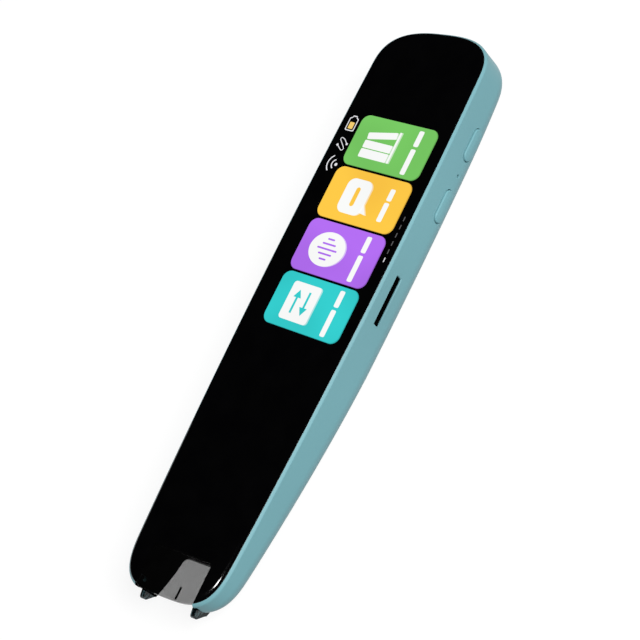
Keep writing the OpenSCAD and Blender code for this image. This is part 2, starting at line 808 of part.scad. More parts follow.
module scan_leds() {
    color([0.95, 0.93, 0.7]) for (s = [-1, 1])
        block([s * 4.6, notch_y + 3.2], [3, 1.6], tip_board_z - 0.9, 0.9);
}

module tip_board() {
    color(board_green) translate([0, 0, tip_board_z]) linear_extrude(board_t) intersection() {
        translate([-tip_board_w / 2, tip_board_low])
            square([tip_board_w, tip_board_high - tip_board_low]);
        outline(inside_in);
    }
}

module tip_flex() {
    rise = tip_board_z + board_t - board_top;
    color([0.75, 0.5, 0.15]) {
        translate([0.5, board_low - 1, board_top]) cube([6, 3, flex_t]);
        translate([0.5, board_low - 1, board_top]) cube([6, flex_t, rise + flex_t]);
        translate([0.5, tip_board_high - 1.5, board_top + rise])
            cube([6, board_low - tip_board_high + 0.5 + flex_t, flex_t]);
    }
}

module switch_board() {
    color(board_green) translate([-switch_board_w / 2, switch_y, switch_floor + seat_gap])
        cube([switch_board_w, switch_board_t, switch_board_h]);
}

switch_depth = 1.5;
module tip_switch() {
    color([0.8, 0.8, 0.78]) {
        translate([-2, switch_y - switch_depth, switch_floor + seat_gap])
            cube([4, switch_depth, switch_h]);
        translate([0, switch_y - switch_depth, tongue_low + tongue_h / 2]) rotate([90, 0, 0])
            cylinder(d = 0.9, h = 0.2);
    }
}

// Side view of the guide: flush with the back at the bar, drawn in more and more towards the
// chin in front of the end of the body, and out to the point of the prong
bar_y = notch_y - guide_travel - 0.15;
guide_proud = 0.1;
guide_top_z = prong_z + 1.1;
guide_steps = 7;
chin = [tip_y + 0.35, prong_z - 3];
module guide_side() {
    nose = [tip_y - prong_out + prong_nose, prong_z];
    foot = [bar_y, back_z(bar_y) - guide_proud];
    polygon(concat(
        [for (i = [0:guide_steps]) let (t = i / guide_steps)
            [foot[0] + (chin[0] - foot[0]) * t, foot[1] + (chin[1] - foot[1]) * (t + t * t) / 2]],
        [chin + [-0.2, 0.5]],
        [for (a = [215:-23:100]) nose + prong_nose * [cos(a), sin(a)]],
        [[tip_y + 0.75, guide_top_z], [bar_y, guide_top_z]]));
}

guide_half = notch_w / 2 - guide_gap;
module guide_plan() {
    far = tip_y - prong_out;
    difference() {
        union() {
            translate([0, bar_y - guide_round]) {
                straight = guide_half - guide_round;
                translate([-straight, 0]) square([2 * straight, guide_round]);
                for (s = [-1, 1]) translate([s * straight, 0]) circle(r = guide_round);
            }
            translate([-guide_half, far]) square([2 * guide_half, bar_y - guide_round - far]);
        }
        inside_len = bar_y - guide_bar - far + 3;
        translate([0, far - 3 + inside_len / 2])
            rounded([2 * (guide_half - guide_wall), inside_len], guide_inner_round);
    }
}

module scan_guide() {
    inner = guide_half - guide_wall;
    tongue_end = switch_y - switch_depth - 0.2 - guide_travel - seat_gap;
    color(smoke) union() {
        difference() {
            intersection() {
                linear_extrude(body_t) guide_plan();
                toward_x(-guide_half - 1, 2 * guide_half + 2) guide_side();
            }
            translate([-inner, bar_y - guide_bar - guide_inner_round - eps, tongue_low + tongue_h])
                cube([2 * inner, guide_bar + 2 * guide_inner_round, body_t]);
        }
        translate([-tongue_w / 2, bar_y - 1, tongue_low])
            cube([tongue_w, tongue_end - bar_y + 1, tongue_h]);
    }
}

module tip_lens() {
    inner = guide_half - guide_wall - 0.02;
    color([0.5, 0.55, 0.57, 0.5])
        translate([0, 0, lens_top - lens_t]) linear_extrude(lens_t) intersection() {
            translate([-inner, tip_y]) square([2 * inner, bar_y - guide_bar - room - tip_y]);
            translate([0, tip_y + lens_back + lens_round]) circle(r = lens_round, $fn = 120);
        }
}

aim_len = 3.1;
aim_t = 0.08;
module aim_mark() {
    color(inky) translate([-aim_w / 2, tip_y + lens_back + 0.1, lens_top]) cube([aim_w, aim_len, aim_t]);
}

rear_housing();
cover_glass();
print_mask();
glass_tape();
display_panel();
backlight();
display_flex();
mid_frame();
frame_screws();
main_board();
board_chips();
shield_can();
antenna();
battery();
battery_foam();
battery_lead();
speaker();
speaker_cone();
speaker_gasket();
speaker_mesh();
side_key_board();
key_switches();
microphone();
mic_gasket();
card_socket();
usb_shell();
usb_tongue();
scan_chamber();
scan_window();
camera_module();
camera_lens();
scan_leds();
tip_board();
tip_flex();
switch_board();
tip_switch();
upper_button();
lower_button();
scan_guide();
tip_lens();
aim_mark();
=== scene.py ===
"""Looks of the hand-held scanning translator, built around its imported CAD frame."""
import json
import math

import bpy
import numpy as np
from mathutils import Matrix, Vector


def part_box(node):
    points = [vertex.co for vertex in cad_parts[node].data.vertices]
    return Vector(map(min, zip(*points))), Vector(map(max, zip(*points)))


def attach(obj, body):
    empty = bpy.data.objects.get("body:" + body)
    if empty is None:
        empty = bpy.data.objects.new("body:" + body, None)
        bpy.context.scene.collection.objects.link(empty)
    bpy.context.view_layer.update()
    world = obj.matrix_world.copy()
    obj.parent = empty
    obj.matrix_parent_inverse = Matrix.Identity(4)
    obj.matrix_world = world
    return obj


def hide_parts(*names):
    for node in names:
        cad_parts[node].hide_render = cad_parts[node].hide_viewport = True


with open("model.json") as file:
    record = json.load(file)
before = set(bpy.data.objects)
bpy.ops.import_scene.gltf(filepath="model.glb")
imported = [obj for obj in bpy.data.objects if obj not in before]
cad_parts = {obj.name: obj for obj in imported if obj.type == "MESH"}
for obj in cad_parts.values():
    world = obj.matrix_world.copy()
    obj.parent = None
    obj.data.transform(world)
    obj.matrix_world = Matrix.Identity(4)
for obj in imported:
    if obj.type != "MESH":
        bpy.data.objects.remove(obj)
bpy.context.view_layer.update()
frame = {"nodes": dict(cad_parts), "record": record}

# ------------------------------------------------------------------ sizes, in millimetres

MM = 0.001


def node_box(node):
    """Lowest and highest corner of a CAD node, in millimetres."""
    low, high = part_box(node)
    return np.array(low) / MM, np.array(high) / MM


GLASS_LOW, GLASS_HIGH = node_box("cover_glass")
BODY_HIGH = node_box("rear_housing")[1]
TIP_Y, TOP_Y = GLASS_LOW[1], GLASS_HIGH[1]
BODY_T = GLASS_HIGH[2]
RIM_TOP = BODY_HIGH[2]
RIM = BODY_HIGH[0] - GLASS_HIGH[0]
GLASS_W = GLASS_HIGH[0] - GLASS_LOW[0]

# the sides bow in from the widest place, by SIDE_CROWN over CROWN_SPAN
WIDEST_FROM_TOP = 51.85
WIDEST_Y = TOP_Y - WIDEST_FROM_TOP
SIDE_CROWN, CROWN_SPAN = 1.7, 75
# length of the plan's corners at each end, and how square they are: 2 is an ellipse
TOP_ROUND, TOP_SQUARE = 10.45, 2.76
TIP_ROUND, TIP_SQUARE = 13.35, 3.47
CORNER_STEPS, SIDE_STEPS = 36, 110
# rise of the back towards each end: height, length and power of the curve
TIP_LIFT, TIP_LIFT_LEN, TIP_LIFT_POWER = 5.3, 67, 1.5
TOP_LIFT, TOP_LIFT_LEN, TOP_LIFT_POWER = 1.4, 31, 2
# radius of the edge between side and back, and the wall's thickness
EDGE_R = 5.5
WALL = 1.4
# ledge under the glass
LEDGE_DEPTH, LEDGE_W, LEDGE_T = 1.25, 1.65, 1.0
LEDGE_Z = BODY_T - LEDGE_DEPTH
GLASS_GAP = 0.05


def half_w(y):
    """Half width of the glass at a station."""
    return GLASS_W / 2 - SIDE_CROWN * ((y - WIDEST_Y) / CROWN_SPAN) ** 2


def back_z(y):
    """Height of the back's middle at a station."""
    to_tip = np.maximum(0, (TIP_Y - RIM + TIP_LIFT_LEN - y) / TIP_LIFT_LEN)
    to_top = np.maximum(0, (y - TOP_Y - RIM + TOP_LIFT_LEN) / TOP_LIFT_LEN)
    return TIP_LIFT * to_tip ** TIP_LIFT_POWER + TOP_LIFT * to_top ** TOP_LIFT_POWER


def outline(inset):
    """Plan outline of the glass inset by a distance, as a closed ring from the tip's middle."""
    turn = np.linspace(90, 0, CORNER_STEPS + 1)[:, None] * math.pi / 180
    tip_c, top_c = TIP_ROUND - inset, TOP_ROUND - inset
    tip_y = TIP_Y + inset + tip_c - tip_c * np.sin(turn) ** (2 / TIP_SQUARE)
    tip_x = (half_w(tip_y) - inset) * np.cos(turn) ** (2 / TIP_SQUARE)
    side_y = np.linspace(TIP_Y + TIP_ROUND, TOP_Y - TOP_ROUND, SIDE_STEPS + 1)[1:-1, None]
    side_x = half_w(side_y) - inset
    turn = turn[::-1]
    top_y = TOP_Y - inset - top_c + top_c * np.sin(turn) ** (2 / TOP_SQUARE)
    top_x = (half_w(top_y) - inset) * np.cos(turn) ** (2 / TOP_SQUARE)
    right = np.hstack([np.vstack([tip_x, side_x, top_x]), np.vstack([tip_y, side_y, top_y])])
    right[0, 0] = right[-1, 0] = 0
    left = right[-2:0:-1] * [-1, 1]
    return np.vstack([right, left])


# ------------------------------------------------------------------ mesh helpers

def new_object(name, points, faces, material, smooth=True):
    """Mesh object from points in millimetres."""
    mesh = bpy.data.meshes.new(name)
    mesh.from_pydata([tuple(p) for p in np.asarray(points, float) * MM], [], faces)
    mesh.validate()
    mesh.update()
    if smooth:
        mesh.shade_smooth()
    obj = bpy.data.objects.new(name, mesh)
    bpy.context.collection.objects.link(obj)
    if material:
        mesh.materials.append(material)
    return obj


def bands(count, rings):
    """Quads that join rings of points that follow each other."""
    faces = []
    for k in range(rings - 1):
        for i in range(count):
            j = (i + 1) % count
            faces.append((k * count + i, k * count + j, (k + 1) * count + j, (k + 1) * count + i))
    return faces


def strip_cap(first, count, flip):
    """Strips across a ring that is mirrored in x, from its point 0."""
    half = count // 2
    faces = [(first, first + 1, first + count - 1)]
    for i in range(1, half - 1):
        faces.append((first + i, first + i + 1, first + count - i - 1, first + count - i))
    faces.append((first + half - 1, first + half, first + half + 1))
    return [f[::-1] for f in faces] if flip else faces


def loft(name, rings, material, caps="ngon", smooth=True):
    """Closed solid through rings of 3-D points."""
    count = len(rings[0])
    points = np.vstack(rings)
    faces = bands(count, len(rings))
    last = (len(rings) - 1) * count
    if caps == "ngon":
        faces.append(tuple(range(count))[::-1])
        faces.append(tuple(range(last, last + count)))
    elif caps == "strips":
        faces += strip_cap(0, count, True) + strip_cap(last, count, False)
    return new_object(name, points, faces, material, smooth)


def evaluated_mesh(obj):
    """The object's mesh with its modifiers applied."""
    graph = bpy.context.evaluated_depsgraph_get()
    return bpy.data.meshes.new_from_object(obj.evaluated_get(graph), depsgraph=graph)


def apply_modifiers(obj):
    """Puts the result of the object's modifiers in its mesh."""
    mesh = evaluated_mesh(obj)
    obj.modifiers.clear()
    obj.data = mesh


def boolean(obj, cutter, operation="DIFFERENCE"):
    """Cuts obj by cutter, or joins or meets them, and deletes the cutter."""
    step = obj.modifiers.new("cut", "BOOLEAN")
    step.operation = operation
    step.solver = "EXACT"
    step.object = cutter
    bpy.context.view_layer.update()
    apply_modifiers(obj)
    bpy.data.objects.remove(cutter)


def joined(objects, name):
    """One object of several that don't meet."""
    points, faces, shift = [], [], 0
    for obj in objects:
        points += [tuple(v.co / MM) for v in obj.data.vertices]
        faces += [tuple(i + shift for i in p.vertices) for p in obj.data.polygons]
        shift = len(points)
        bpy.data.objects.remove(obj)
    return new_object(name, points, faces, None)


def sharpen(obj, degrees):
    """Smooth shading with sharp edges above an angle, and normals weighted by face area."""
    obj.data.shade_smooth()
    obj.data.set_sharp_from_angle(angle=math.radians(degrees))
    step = obj.modifiers.new("normals", "WEIGHTED_NORMAL")
    step.keep_sharp = True


BEVEL_ANGLE = 40


def bevel(obj, width, segments):
    """Rounded edges as a modifier, width in millimetres."""
    step = obj.modifiers.new("round", "BEVEL")
    step.width = width * MM
    step.segments = segments
    step.limit_method = "ANGLE"
    step.angle_limit = math.radians(BEVEL_ANGLE)


def circle_ring(radius, count=24):
    """Circle round the origin."""
    turn = np.linspace(0, 2 * math.pi, count, endpoint=False)
    return np.column_stack([radius * np.cos(turn), radius * np.sin(turn)])


def stadium_ring(length, height, inset=0.0, count=20):
    """Stadium with its long side along the first axis."""
    radius = height / 2 - inset
    reach = (length - height) / 2
    right = np.linspace(-math.pi / 2, math.pi / 2, count)
    left = right + math.pi
    ring = [[reach + radius * math.cos(a), radius * math.sin(a)] for a in right]
    ring += [[-reach + radius * math.cos(a), radius * math.sin(a)] for a in left]
    return np.array(ring)


def box_ring(length, height, radius, inset=0.0, count=5):
    """Rectangle with rounded corners."""
    radius = max(radius - inset, 0.01)
    x, y = length / 2 - inset - radius, height / 2 - inset - radius
    ring = []
    for sx, sy, start in ((1, 1, 0), (-1, 1, 90), (-1, -1, 180), (1, -1, 270)):
        for a in np.radians(np.linspace(start, start + 90, count)):
            ring.append([sx * x + radius * math.cos(a), sy * y + radius * math.sin(a)])
    return np.array(ring)


def place(ring, axis, at, along):
    """A flat ring set across an axis, through a point, moved along the axis."""
    a, b = ring[:, 0], ring[:, 1]
    still = np.zeros(len(ring))
    if axis == "x":
        columns = [still + along, at[1] + a, at[2] + b]
    elif axis == "y":
        columns = [at[0] - a, still + along, at[2] + b]
    else:
        columns = [at[0] + a, at[1] + b, still + along]
    return np.column_stack(columns)


# ------------------------------------------------------------------ material helpers

def srgb(r, g, b):
    """Linear colour from 0-255 sRGB values."""
    def one(c):
        c /= 255
        return c / 12.92 if c <= 0.04045 else ((c + 0.055) / 1.055) ** 2.4
    return (one(r), one(g), one(b), 1.0)


def node(tree, kind, **values):
    """Shader node with its settings, and its inputs by name."""
    made = tree.nodes.new(kind)
    for key, value in values.items():
        if hasattr(made, key):
            setattr(made, key, value)
        else:
            made.inputs[key.replace("_", " ")].default_value = value
    return made


def base_material(name):
    """New material, its node tree and its shader."""
    material = bpy.data.materials.new(name)
    material.use_nodes = True
    tree = material.node_tree
    return material, tree, tree.nodes["Principled BSDF"]


def noise(tree, size_mm, detail=2.0, stretch=(1, 1, 1)):
    """Noise in object coordinates, with features of about that size."""
    place_node = node(tree, "ShaderNodeTexCoord")
    scale = node(tree, "ShaderNodeMapping")
    scale.inputs["Scale"].default_value = stretch
    texture = node(tree, "ShaderNodeTexNoise", Scale=1 / (size_mm * MM), Detail=detail)
    tree.links.new(place_node.outputs["Object"], scale.inputs["Vector"])
    tree.links.new(scale.outputs["Vector"], texture.inputs["Vector"])
    return texture


def ramp(tree, source, stops):
    """Colour ramp from (position, colour) stops."""
    made = node(tree, "ShaderNodeValToRGB")
    made.color_ramp.elements[0].position, made.color_ramp.elements[0].color = stops[0]
    made.color_ramp.elements[1].position, made.color_ramp.elements[1].color = stops[-1]
    for position, colour in stops[1:-1]:
        made.color_ramp.elements.new(position).color = colour
    tree.links.new(source, made.inputs["Fac"])
    return made


def spread(tree, source, low, high):
    """Map a 0-1 source to a range."""
    made = node(tree, "ShaderNodeMapRange")
    made.inputs["To Min"].default_value = low
    made.inputs["To Max"].default_value = high
    tree.links.new(source, made.inputs["Value"])
    return made


def add_bump(tree, shader, source, height_mm, strength=1.0):
    """Fine relief on a shader from a 0-1 source."""
    made = node(tree, "ShaderNodeBump")
    made.inputs["Strength"].default_value = strength
    made.inputs["Distance"].default_value = height_mm * MM
    tree.links.new(source, made.inputs["Height"])
    tree.links.new(made.outputs["Normal"], shader.inputs["Normal"])


def calculated(tree, operation, one, other):
    """Output of a Math node on two values, each a socket or a number."""
    made = node(tree, "ShaderNodeMath", operation=operation)
    for socket, value in zip(made.inputs, (one, other)):
        if isinstance(value, bpy.types.NodeSocket):
            tree.links.new(value, socket)
        else:
            socket.default_value = value
    return made.outputs[0]


# places of the colour sockets of a Mix node, which share their names with its other sockets
MIX_A, MIX_B, MIX_OUT = 6, 7, 2


def mix_colours(tree, share, one, other):
    """Output of a Mix node on two colours, each a socket or a colour, by a 0-1 socket."""
    made = node(tree, "ShaderNodeMix", data_type="RGBA")
    tree.links.new(share, made.inputs["Factor"])
    for index, value in ((MIX_A, one), (MIX_B, other)):
        if isinstance(value, bpy.types.NodeSocket):
            tree.links.new(value, made.inputs[index])
        else:
            made.inputs[index].default_value = value
    return made.outputs[MIX_OUT]


def shade(colour, factor):
    """A colour made darker or lighter."""
    return tuple(min(1.0, c * factor) for c in colour[:3]) + (1.0,)


def shades(tree, source, colour, darker, lighter, low=0.3, high=0.7):
    """Ramp from a darker to a lighter shade of a colour."""
    return ramp(tree, source, [(low, shade(colour, darker)), (high, shade(colour, lighter))])


VARY = 0.06
ROUGH_VARY, LEAST_ROUGH = 0.05, 0.02
BROAD_TO_FINE = 25


def plain(name, colour, rough, metallic=0.0, grain_mm=0.4, bump_mm=0.004, stretch=(1, 1, 1),
          **sockets):
    """Opaque material with small variation of colour, gloss and surface."""
    material, tree, shader = base_material(name)
    fine = noise(tree, grain_mm, 3.0, stretch)
    broad = noise(tree, grain_mm * BROAD_TO_FINE, 2.0)
    colours = shades(tree, broad.outputs["Fac"], colour, 1 - VARY, 1 + VARY)
    tree.links.new(colours.outputs["Color"], shader.inputs["Base Color"])
    least, most = max(LEAST_ROUGH, rough - ROUGH_VARY), rough + ROUGH_VARY
    rough_map = spread(tree, fine.outputs["Fac"], least, most)
    tree.links.new(rough_map.outputs["Result"], shader.inputs["Roughness"])
    shader.inputs["Metallic"].default_value = metallic
    for key, value in sockets.items():
        shader.inputs[key.replace("_", " ")].default_value = value
    add_bump(tree, shader, fine.outputs["Fac"], bump_mm)
    return material


# ------------------------------------------------------------------ materials

TEAL = srgb(118, 170, 178)


def paint_material(name):
    """Satin paint: faint orange peel with its small changes of gloss, and a slow drift of tone."""
    material, tree, shader = base_material(name)
    peel = noise(tree, 0.9, 2.0)
    drift = noise(tree, 30, 1.0)
    colours = shades(tree, drift.outputs["Fac"], TEAL, 0.97, 1.03)
    tree.links.new(colours.outputs["Color"], shader.inputs["Base Color"])
    rough_map = spread(tree, peel.outputs["Fac"], 0.36, 0.44)
    tree.links.new(rough_map.outputs["Result"], shader.inputs["Roughness"])
    shader.inputs["Specular IOR Level"].default_value = 0.25
    add_bump(tree, shader, peel.outputs["Fac"], 0.006, 0.6)
    return material


def black_glass_material():
    """Polished black glass with the faintest haze."""
    material, tree, shader = base_material("black_glass")
    haze = noise(tree, 6, 4.0)
    colours = ramp(tree, haze.outputs["Fac"],
                   [(0.3, (0.0010, 0.0010, 0.0012, 1)), (0.7, (0.0016, 0.0016, 0.0018, 1))])
    tree.links.new(colours.outputs["Color"], shader.inputs["Base Color"])
    rough_map = spread(tree, haze.outputs["Fac"], 0.03, 0.07)
    tree.links.new(rough_map.outputs["Result"], shader.inputs["Roughness"])
    shader.inputs["IOR"].default_value = 1.5
    return material


def pane_material(name, colour, alpha):
    """Thin clear or smoked pane: a tinted, partly see-through sheet with gloss."""
    material, tree, shader = base_material(name)
    haze = noise(tree, 3, 3.0)
    colours = shades(tree, haze.outputs["Fac"], colour, 0.9, 1.1)
    tree.links.new(colours.outputs["Color"], shader.inputs["Base Color"])
    rough_map = spread(tree, haze.outputs["Fac"], 0.06, 0.10)
    tree.links.new(rough_map.outputs["Result"], shader.inputs["Roughness"])
    shader.inputs["Alpha"].default_value = alpha
    return material


# how far the scan guide's faces in the chamber, which are painted shade, lie in from its sides,
# down from its top, in from the tip of the glass and up from its lowest point
CHAMBER_SIDE, CHAMBER_TOP, CHAMBER_TIP, CHAMBER_FOOT = 1.26, 0.1, 0.2, 0.5


def chamber_shade_mask(tree):
    """1 on the scan guide's faces that look into the chamber, where shade is painted, 0 on its
    outer faces and prongs.
    """
    low, high = node_box("scan_guide")
    place_node = node(tree, "ShaderNodeTexCoord")
    split = node(tree, "ShaderNodeSeparateXYZ")
    tree.links.new(place_node.outputs["Object"], split.inputs[0])
    x, y, z = (split.outputs[name] for name in "XYZ")
    across = calculated(tree, "ABSOLUTE", x, 0)
    inner = calculated(tree, "LESS_THAN", across, (high[0] - CHAMBER_SIDE) * MM)
    upper = calculated(tree, "GREATER_THAN", z, (high[2] - CHAMBER_TOP) * MM)
    behind_tip = calculated(tree, "GREATER_THAN", y, (TIP_Y + CHAMBER_TIP) * MM)
    above_foot = calculated(tree, "GREATER_THAN", z, (low[2] + CHAMBER_FOOT) * MM)
    inside = calculated(tree, "MULTIPLY", behind_tip, above_foot)
    return calculated(tree, "MULTIPLY", calculated(tree, "MAXIMUM", inner, upper), inside)


def smoke_material(name):
    """Smoked polycarbonate moulding: nearly black body with a fine teal speckle, a glossy skin, and
    bright streaks that are painted glints. Its faces inside the chamber are painted shade: matt
    black."""
    material, tree, shader = base_material(name)
    speckle_and_glints = noise(tree, 0.55, 3.0, (1, 0.5, 1))
    # the bright stop at 0.6 paints glints as streaks; the other stops are the moulding's own
    # speckled tone
    colours = ramp(tree, speckle_and_glints.outputs["Fac"], [
        (0.4, (0.001, 0.002, 0.002, 1)), (0.54, (0.006, 0.016, 0.018, 1)),
        (0.6, (0.12, 0.2, 0.215, 1)), (0.66, (0.02, 0.05, 0.055, 1))])
    # painted shade: the faces inside the chamber turn black and metallic, without reflection
    painted_shade = chamber_shade_mask(tree)
    tree.links.new(painted_shade, shader.inputs["Metallic"])
    black = (0.0005, 0.0005, 0.0005, 1)
    outsides = {"Base Color": colours.outputs["Color"], "Specular Tint": (1, 1, 1, 1)}
    for socket, outside in outsides.items():
        tree.links.new(mix_colours(tree, painted_shade, outside, black), shader.inputs[socket])
    rough_map = spread(tree, speckle_and_glints.outputs["Fac"], 0.04, 0.16)
    tree.links.new(rough_map.outputs["Result"], shader.inputs["Roughness"])
    shader.inputs["Transmission Weight"].default_value = 0.2
    shader.inputs["Specular IOR Level"].default_value = 0.25
    add_bump(tree, shader, speckle_and_glints.outputs["Fac"], 0.1, 0.8)
    return material


def lit_material(name, colour, lift=1.06, drop=0.95):
    """Lit screen colour with a slow gradient along the tile."""
    material, tree, shader = base_material(name)
    drift = noise(tree, 14, 0.0)
    colours = shades(tree, drift.outputs["Fac"], colour, drop, lift, 0.35, 0.65)
    shader.inputs["Base Color"].default_value = (0.001, 0.001, 0.001, 1)
    tree.links.new(colours.outputs["Color"], shader.inputs["Emission Color"])
    shader.inputs["Emission Strength"].default_value = 1.0
    rough_map = spread(tree, drift.outputs["Fac"], 0.04, 0.06)
    tree.links.new(rough_map.outputs["Result"], shader.inputs["Roughness"])
    return material


PAINT = paint_material("teal_paint")
BLACK_GLASS = black_glass_material()
SMOKE = smoke_material("smoked_plastic")
SIGHT = pane_material("sight_clear", (0.002, 0.002, 0.002, 1), 0.51)
LENS = pane_material("smoked_lens", (0.01, 0.012, 0.013, 1), 0.03)
# glossless matt black: painted shade in the notch, the scan chamber and the card slot; also the
# sight window's cut walls
EDGE_BLACK = plain("edge_black", (0.001, 0.001, 0.001, 1), 0.9, bump_mm=0.0, Specular_IOR_Level=0.0)
INKY = plain("inky_plastic", (0.008, 0.008, 0.009, 1), 0.45, bump_mm=0.003)

FINISHES = {
    "cover_glass": BLACK_GLASS,
    "black_print": plain("black_print", (0.004, 0.004, 0.004, 1), 0.3),
    "tape": plain("foam_tape", (0.015, 0.015, 0.015, 1), 0.8, bump_mm=0.02),
    "display": plain("display_stack", (0.006, 0.006, 0.008, 1), 0.12, bump_mm=0.0),
    "backlight": plain("reflector_film", (0.8, 0.8, 0.78, 1), 0.4),
    "flex": plain("amber_flex", (0.5, 0.26, 0.05, 1), 0.3, stretch=(8, 1, 1)),
    "frame_alloy": plain("blasted_alloy", (0.42, 0.43, 0.45, 1), 0.45, 1.0, grain_mm=0.15),
    "steel": plain("plated_steel", (0.6, 0.61, 0.63, 1), 0.28, 1.0, stretch=(1, 14, 1)),
    "board": plain("solder_mask", (0.01, 0.13, 0.05, 1), 0.35, bump_mm=0.01),
    "chips": plain("moulded_package", (0.02, 0.02, 0.022, 1), 0.6),
    "ceramic": plain("ceramic", (0.82, 0.79, 0.7, 1), 0.5),
    "cell": plain("foil_pouch", (0.6, 0.62, 0.65, 1), 0.35, 0.9, grain_mm=1.2, bump_mm=0.05),
    "foam": plain("cell_foam", (0.03, 0.03, 0.03, 1), 0.9, grain_mm=0.3, bump_mm=0.06),
    "lead": plain("lead_sleeve", (0.55, 0.02, 0.02, 1), 0.4),
    "speaker_frame": plain("speaker_frame", (0.05, 0.05, 0.055, 1), 0.5),
    "cone": plain("diaphragm", (0.03, 0.03, 0.035, 1), 0.35),
    "dust_mesh": plain("dust_mesh", (0.012, 0.012, 0.012, 1), 0.8, grain_mm=0.12, bump_mm=0.05),
    "gasket": plain("gasket", (0.02, 0.02, 0.02, 1), 0.8),
    "switch": plain("tact_switch", (0.55, 0.55, 0.53, 1), 0.3, 0.8),
    "brass_can": plain("gold_can", (0.75, 0.56, 0.25, 1), 0.3, 1.0),
    "inky_plastic": INKY,
    "clear_plastic": pane_material("clear_plastic", (0.6, 0.65, 0.68, 1), 0.25),
    "lens": plain("coated_lens", (0.01, 0.015, 0.05, 1), 0.05, bump_mm=0.0, Coat_Weight=1.0),
    "lamp": plain("lamp_phosphor", (0.9, 0.8, 0.35, 1), 0.3),
    "mark": plain("printed_mark", (0.001, 0.001, 0.001, 1), 0.4, bump_mm=0.0),
    "housing": PAINT,
    "button_teal": PAINT,
    "smoke": SMOKE,
    "smoke_lens": LENS,
}

slot_of = {entry["node"]: entry["material_slot"] for entry in frame["record"]["subparts"]}
# the scan chamber is painted shade: glossless matt black in place of its inky plastic
for name, obj in frame["nodes"].items():
    finish = EDGE_BLACK if name == "scan_chamber" else FINISHES[slot_of[name]]
    for slot in obj.material_slots:
        slot.material = finish

# ------------------------------------------------------------------ housing

# bevel along the rim, and how far its two edges are eased
BEVEL_W, BEVEL_H = 0.45, 0.6
BEVEL_SOFT = 0.05
INSIDE_STEPS, BACK_STEPS = 9, 22
# rings of the side between its top and the back's edge, as shares of its height from the top
SIDE_SHARES = (0.25, 0.5, 0.75)
# how far a cutter reaches past what it cuts
PAST = 1


def arc(radius, start, end, steps):
    """Points of an arc, as (along, up) pairs, angles in degrees."""
    return [(radius * math.cos(math.radians(a)), radius * math.sin(math.radians(a)))
            for a in np.linspace(start, end, steps)]


def level_ring(plan, z):
    """A flat ring set at a height."""
    return np.column_stack([plan, np.full(len(plan), z)])


def corner_of_plan(half, end, radius, steps):
    """Points of a plan's rounded corner, from its side to its end."""
    return [(half - radius + a, end - radius + b) for a, b in arc(radius, 0, 90, steps)]


def mirrored(right):
    """Closed plan from the points of its right half."""
    return np.array(right + [(-x, y) for x, y in right[::-1]])


def prism(name, plan, low, high):
    """Upright cutter with one plan, between two heights."""
    return loft(name, [level_ring(plan, z) for z in (low, high)], None, smooth=False)


def flat_ring(inset, z):
    """The outline, inset, at one height."""
    return level_ring(outline(inset), z)


def back_ring(inset, up):
    """The outline, inset, at a distance above the curve of the back."""
    plan = outline(inset)
    return np.column_stack([plan, back_z(plan[:, 1]) + up])


def housing_shell():
    """Skin of the housing: inside, ledge, recess for the glass, rim, side and back."""
    inner_r = EDGE_R - WALL
    rings = []
    for a in np.radians(np.linspace(90, 0, INSIDE_STEPS)):
        inset = WALL - RIM + inner_r * (1 - math.cos(a))
        rings.append(back_ring(inset, WALL + inner_r * (1 - math.sin(a))))
    rings.append(flat_ring(WALL - RIM, LEDGE_Z - LEDGE_T))
    rings.append(flat_ring(LEDGE_W, LEDGE_Z - LEDGE_T))
    rings.append(flat_ring(LEDGE_W, LEDGE_Z))
    rings.append(flat_ring(-GLASS_GAP, LEDGE_Z))
    side_top = RIM_TOP - BEVEL_H
    slope = np.array([BEVEL_W, BEVEL_H]) / math.hypot(BEVEL_W, BEVEL_H) * BEVEL_SOFT
    bevel_low, bevel_high = np.array([-RIM, side_top]), np.array([-RIM + BEVEL_W, RIM_TOP])
    rings.append(flat_ring(-GLASS_GAP, RIM_TOP))
    rings.append(flat_ring(*(bevel_high - slope)))
    rings.append(flat_ring(*(bevel_low + slope)))
    rings.append(flat_ring(-RIM, side_top - BEVEL_SOFT))
    for share in SIDE_SHARES:
        side = back_ring(-RIM, EDGE_R)
        side[:, 2] = side_top * (1 - share) + side[:, 2] * share
        rings.append(side)
    for a in np.radians(np.linspace(0, 90, BACK_STEPS)):
        rings.append(back_ring(-RIM + EDGE_R * (1 - math.cos(a)), EDGE_R * (1 - math.sin(a))))
    return loft("housing_shell", rings, PAINT, caps="strips")


# notch in the tip: straight from its end to FLARE_Y, then wider to where its cutter ends
NOTCH_W, NOTCH_LEN, NOTCH_CORNER = 18.0, 13.55, 3.4
NOTCH_Y = TIP_Y + NOTCH_LEN
NOTCH_FLARE, NOTCH_STRAIGHT = 1.3, 5
FLARE_Y, FLARE_END = NOTCH_Y - NOTCH_STRAIGHT, TIP_Y - 4
NOTCH_STEPS = 9


def notch_plan():
    """Plan of the notch in the back of the tip."""
    half = NOTCH_W / 2
    side = [(half + NOTCH_FLARE * t * t, FLARE_Y + (FLARE_END - FLARE_Y) * t)
            for t in np.linspace(1, 0, NOTCH_STEPS)]
    return mirrored(side + corner_of_plan(half, NOTCH_Y, NOTCH_CORNER, NOTCH_STEPS))


def flared(name, ring_at, surface, flare):
    """Cutter along an axis, through the wall, that widens at the outer surface."""
    rings = [ring_at(0.0, surface - WALL - PAST), ring_at(0.0, surface - flare),
             ring_at(-flare, surface), ring_at(-flare * 3, surface + 2 * flare)]
    return loft(name, rings, None, smooth=False)


BUTTON_LEN, BUTTON_H, BUTTON_GAP = 8.5, 3.0, 0.2
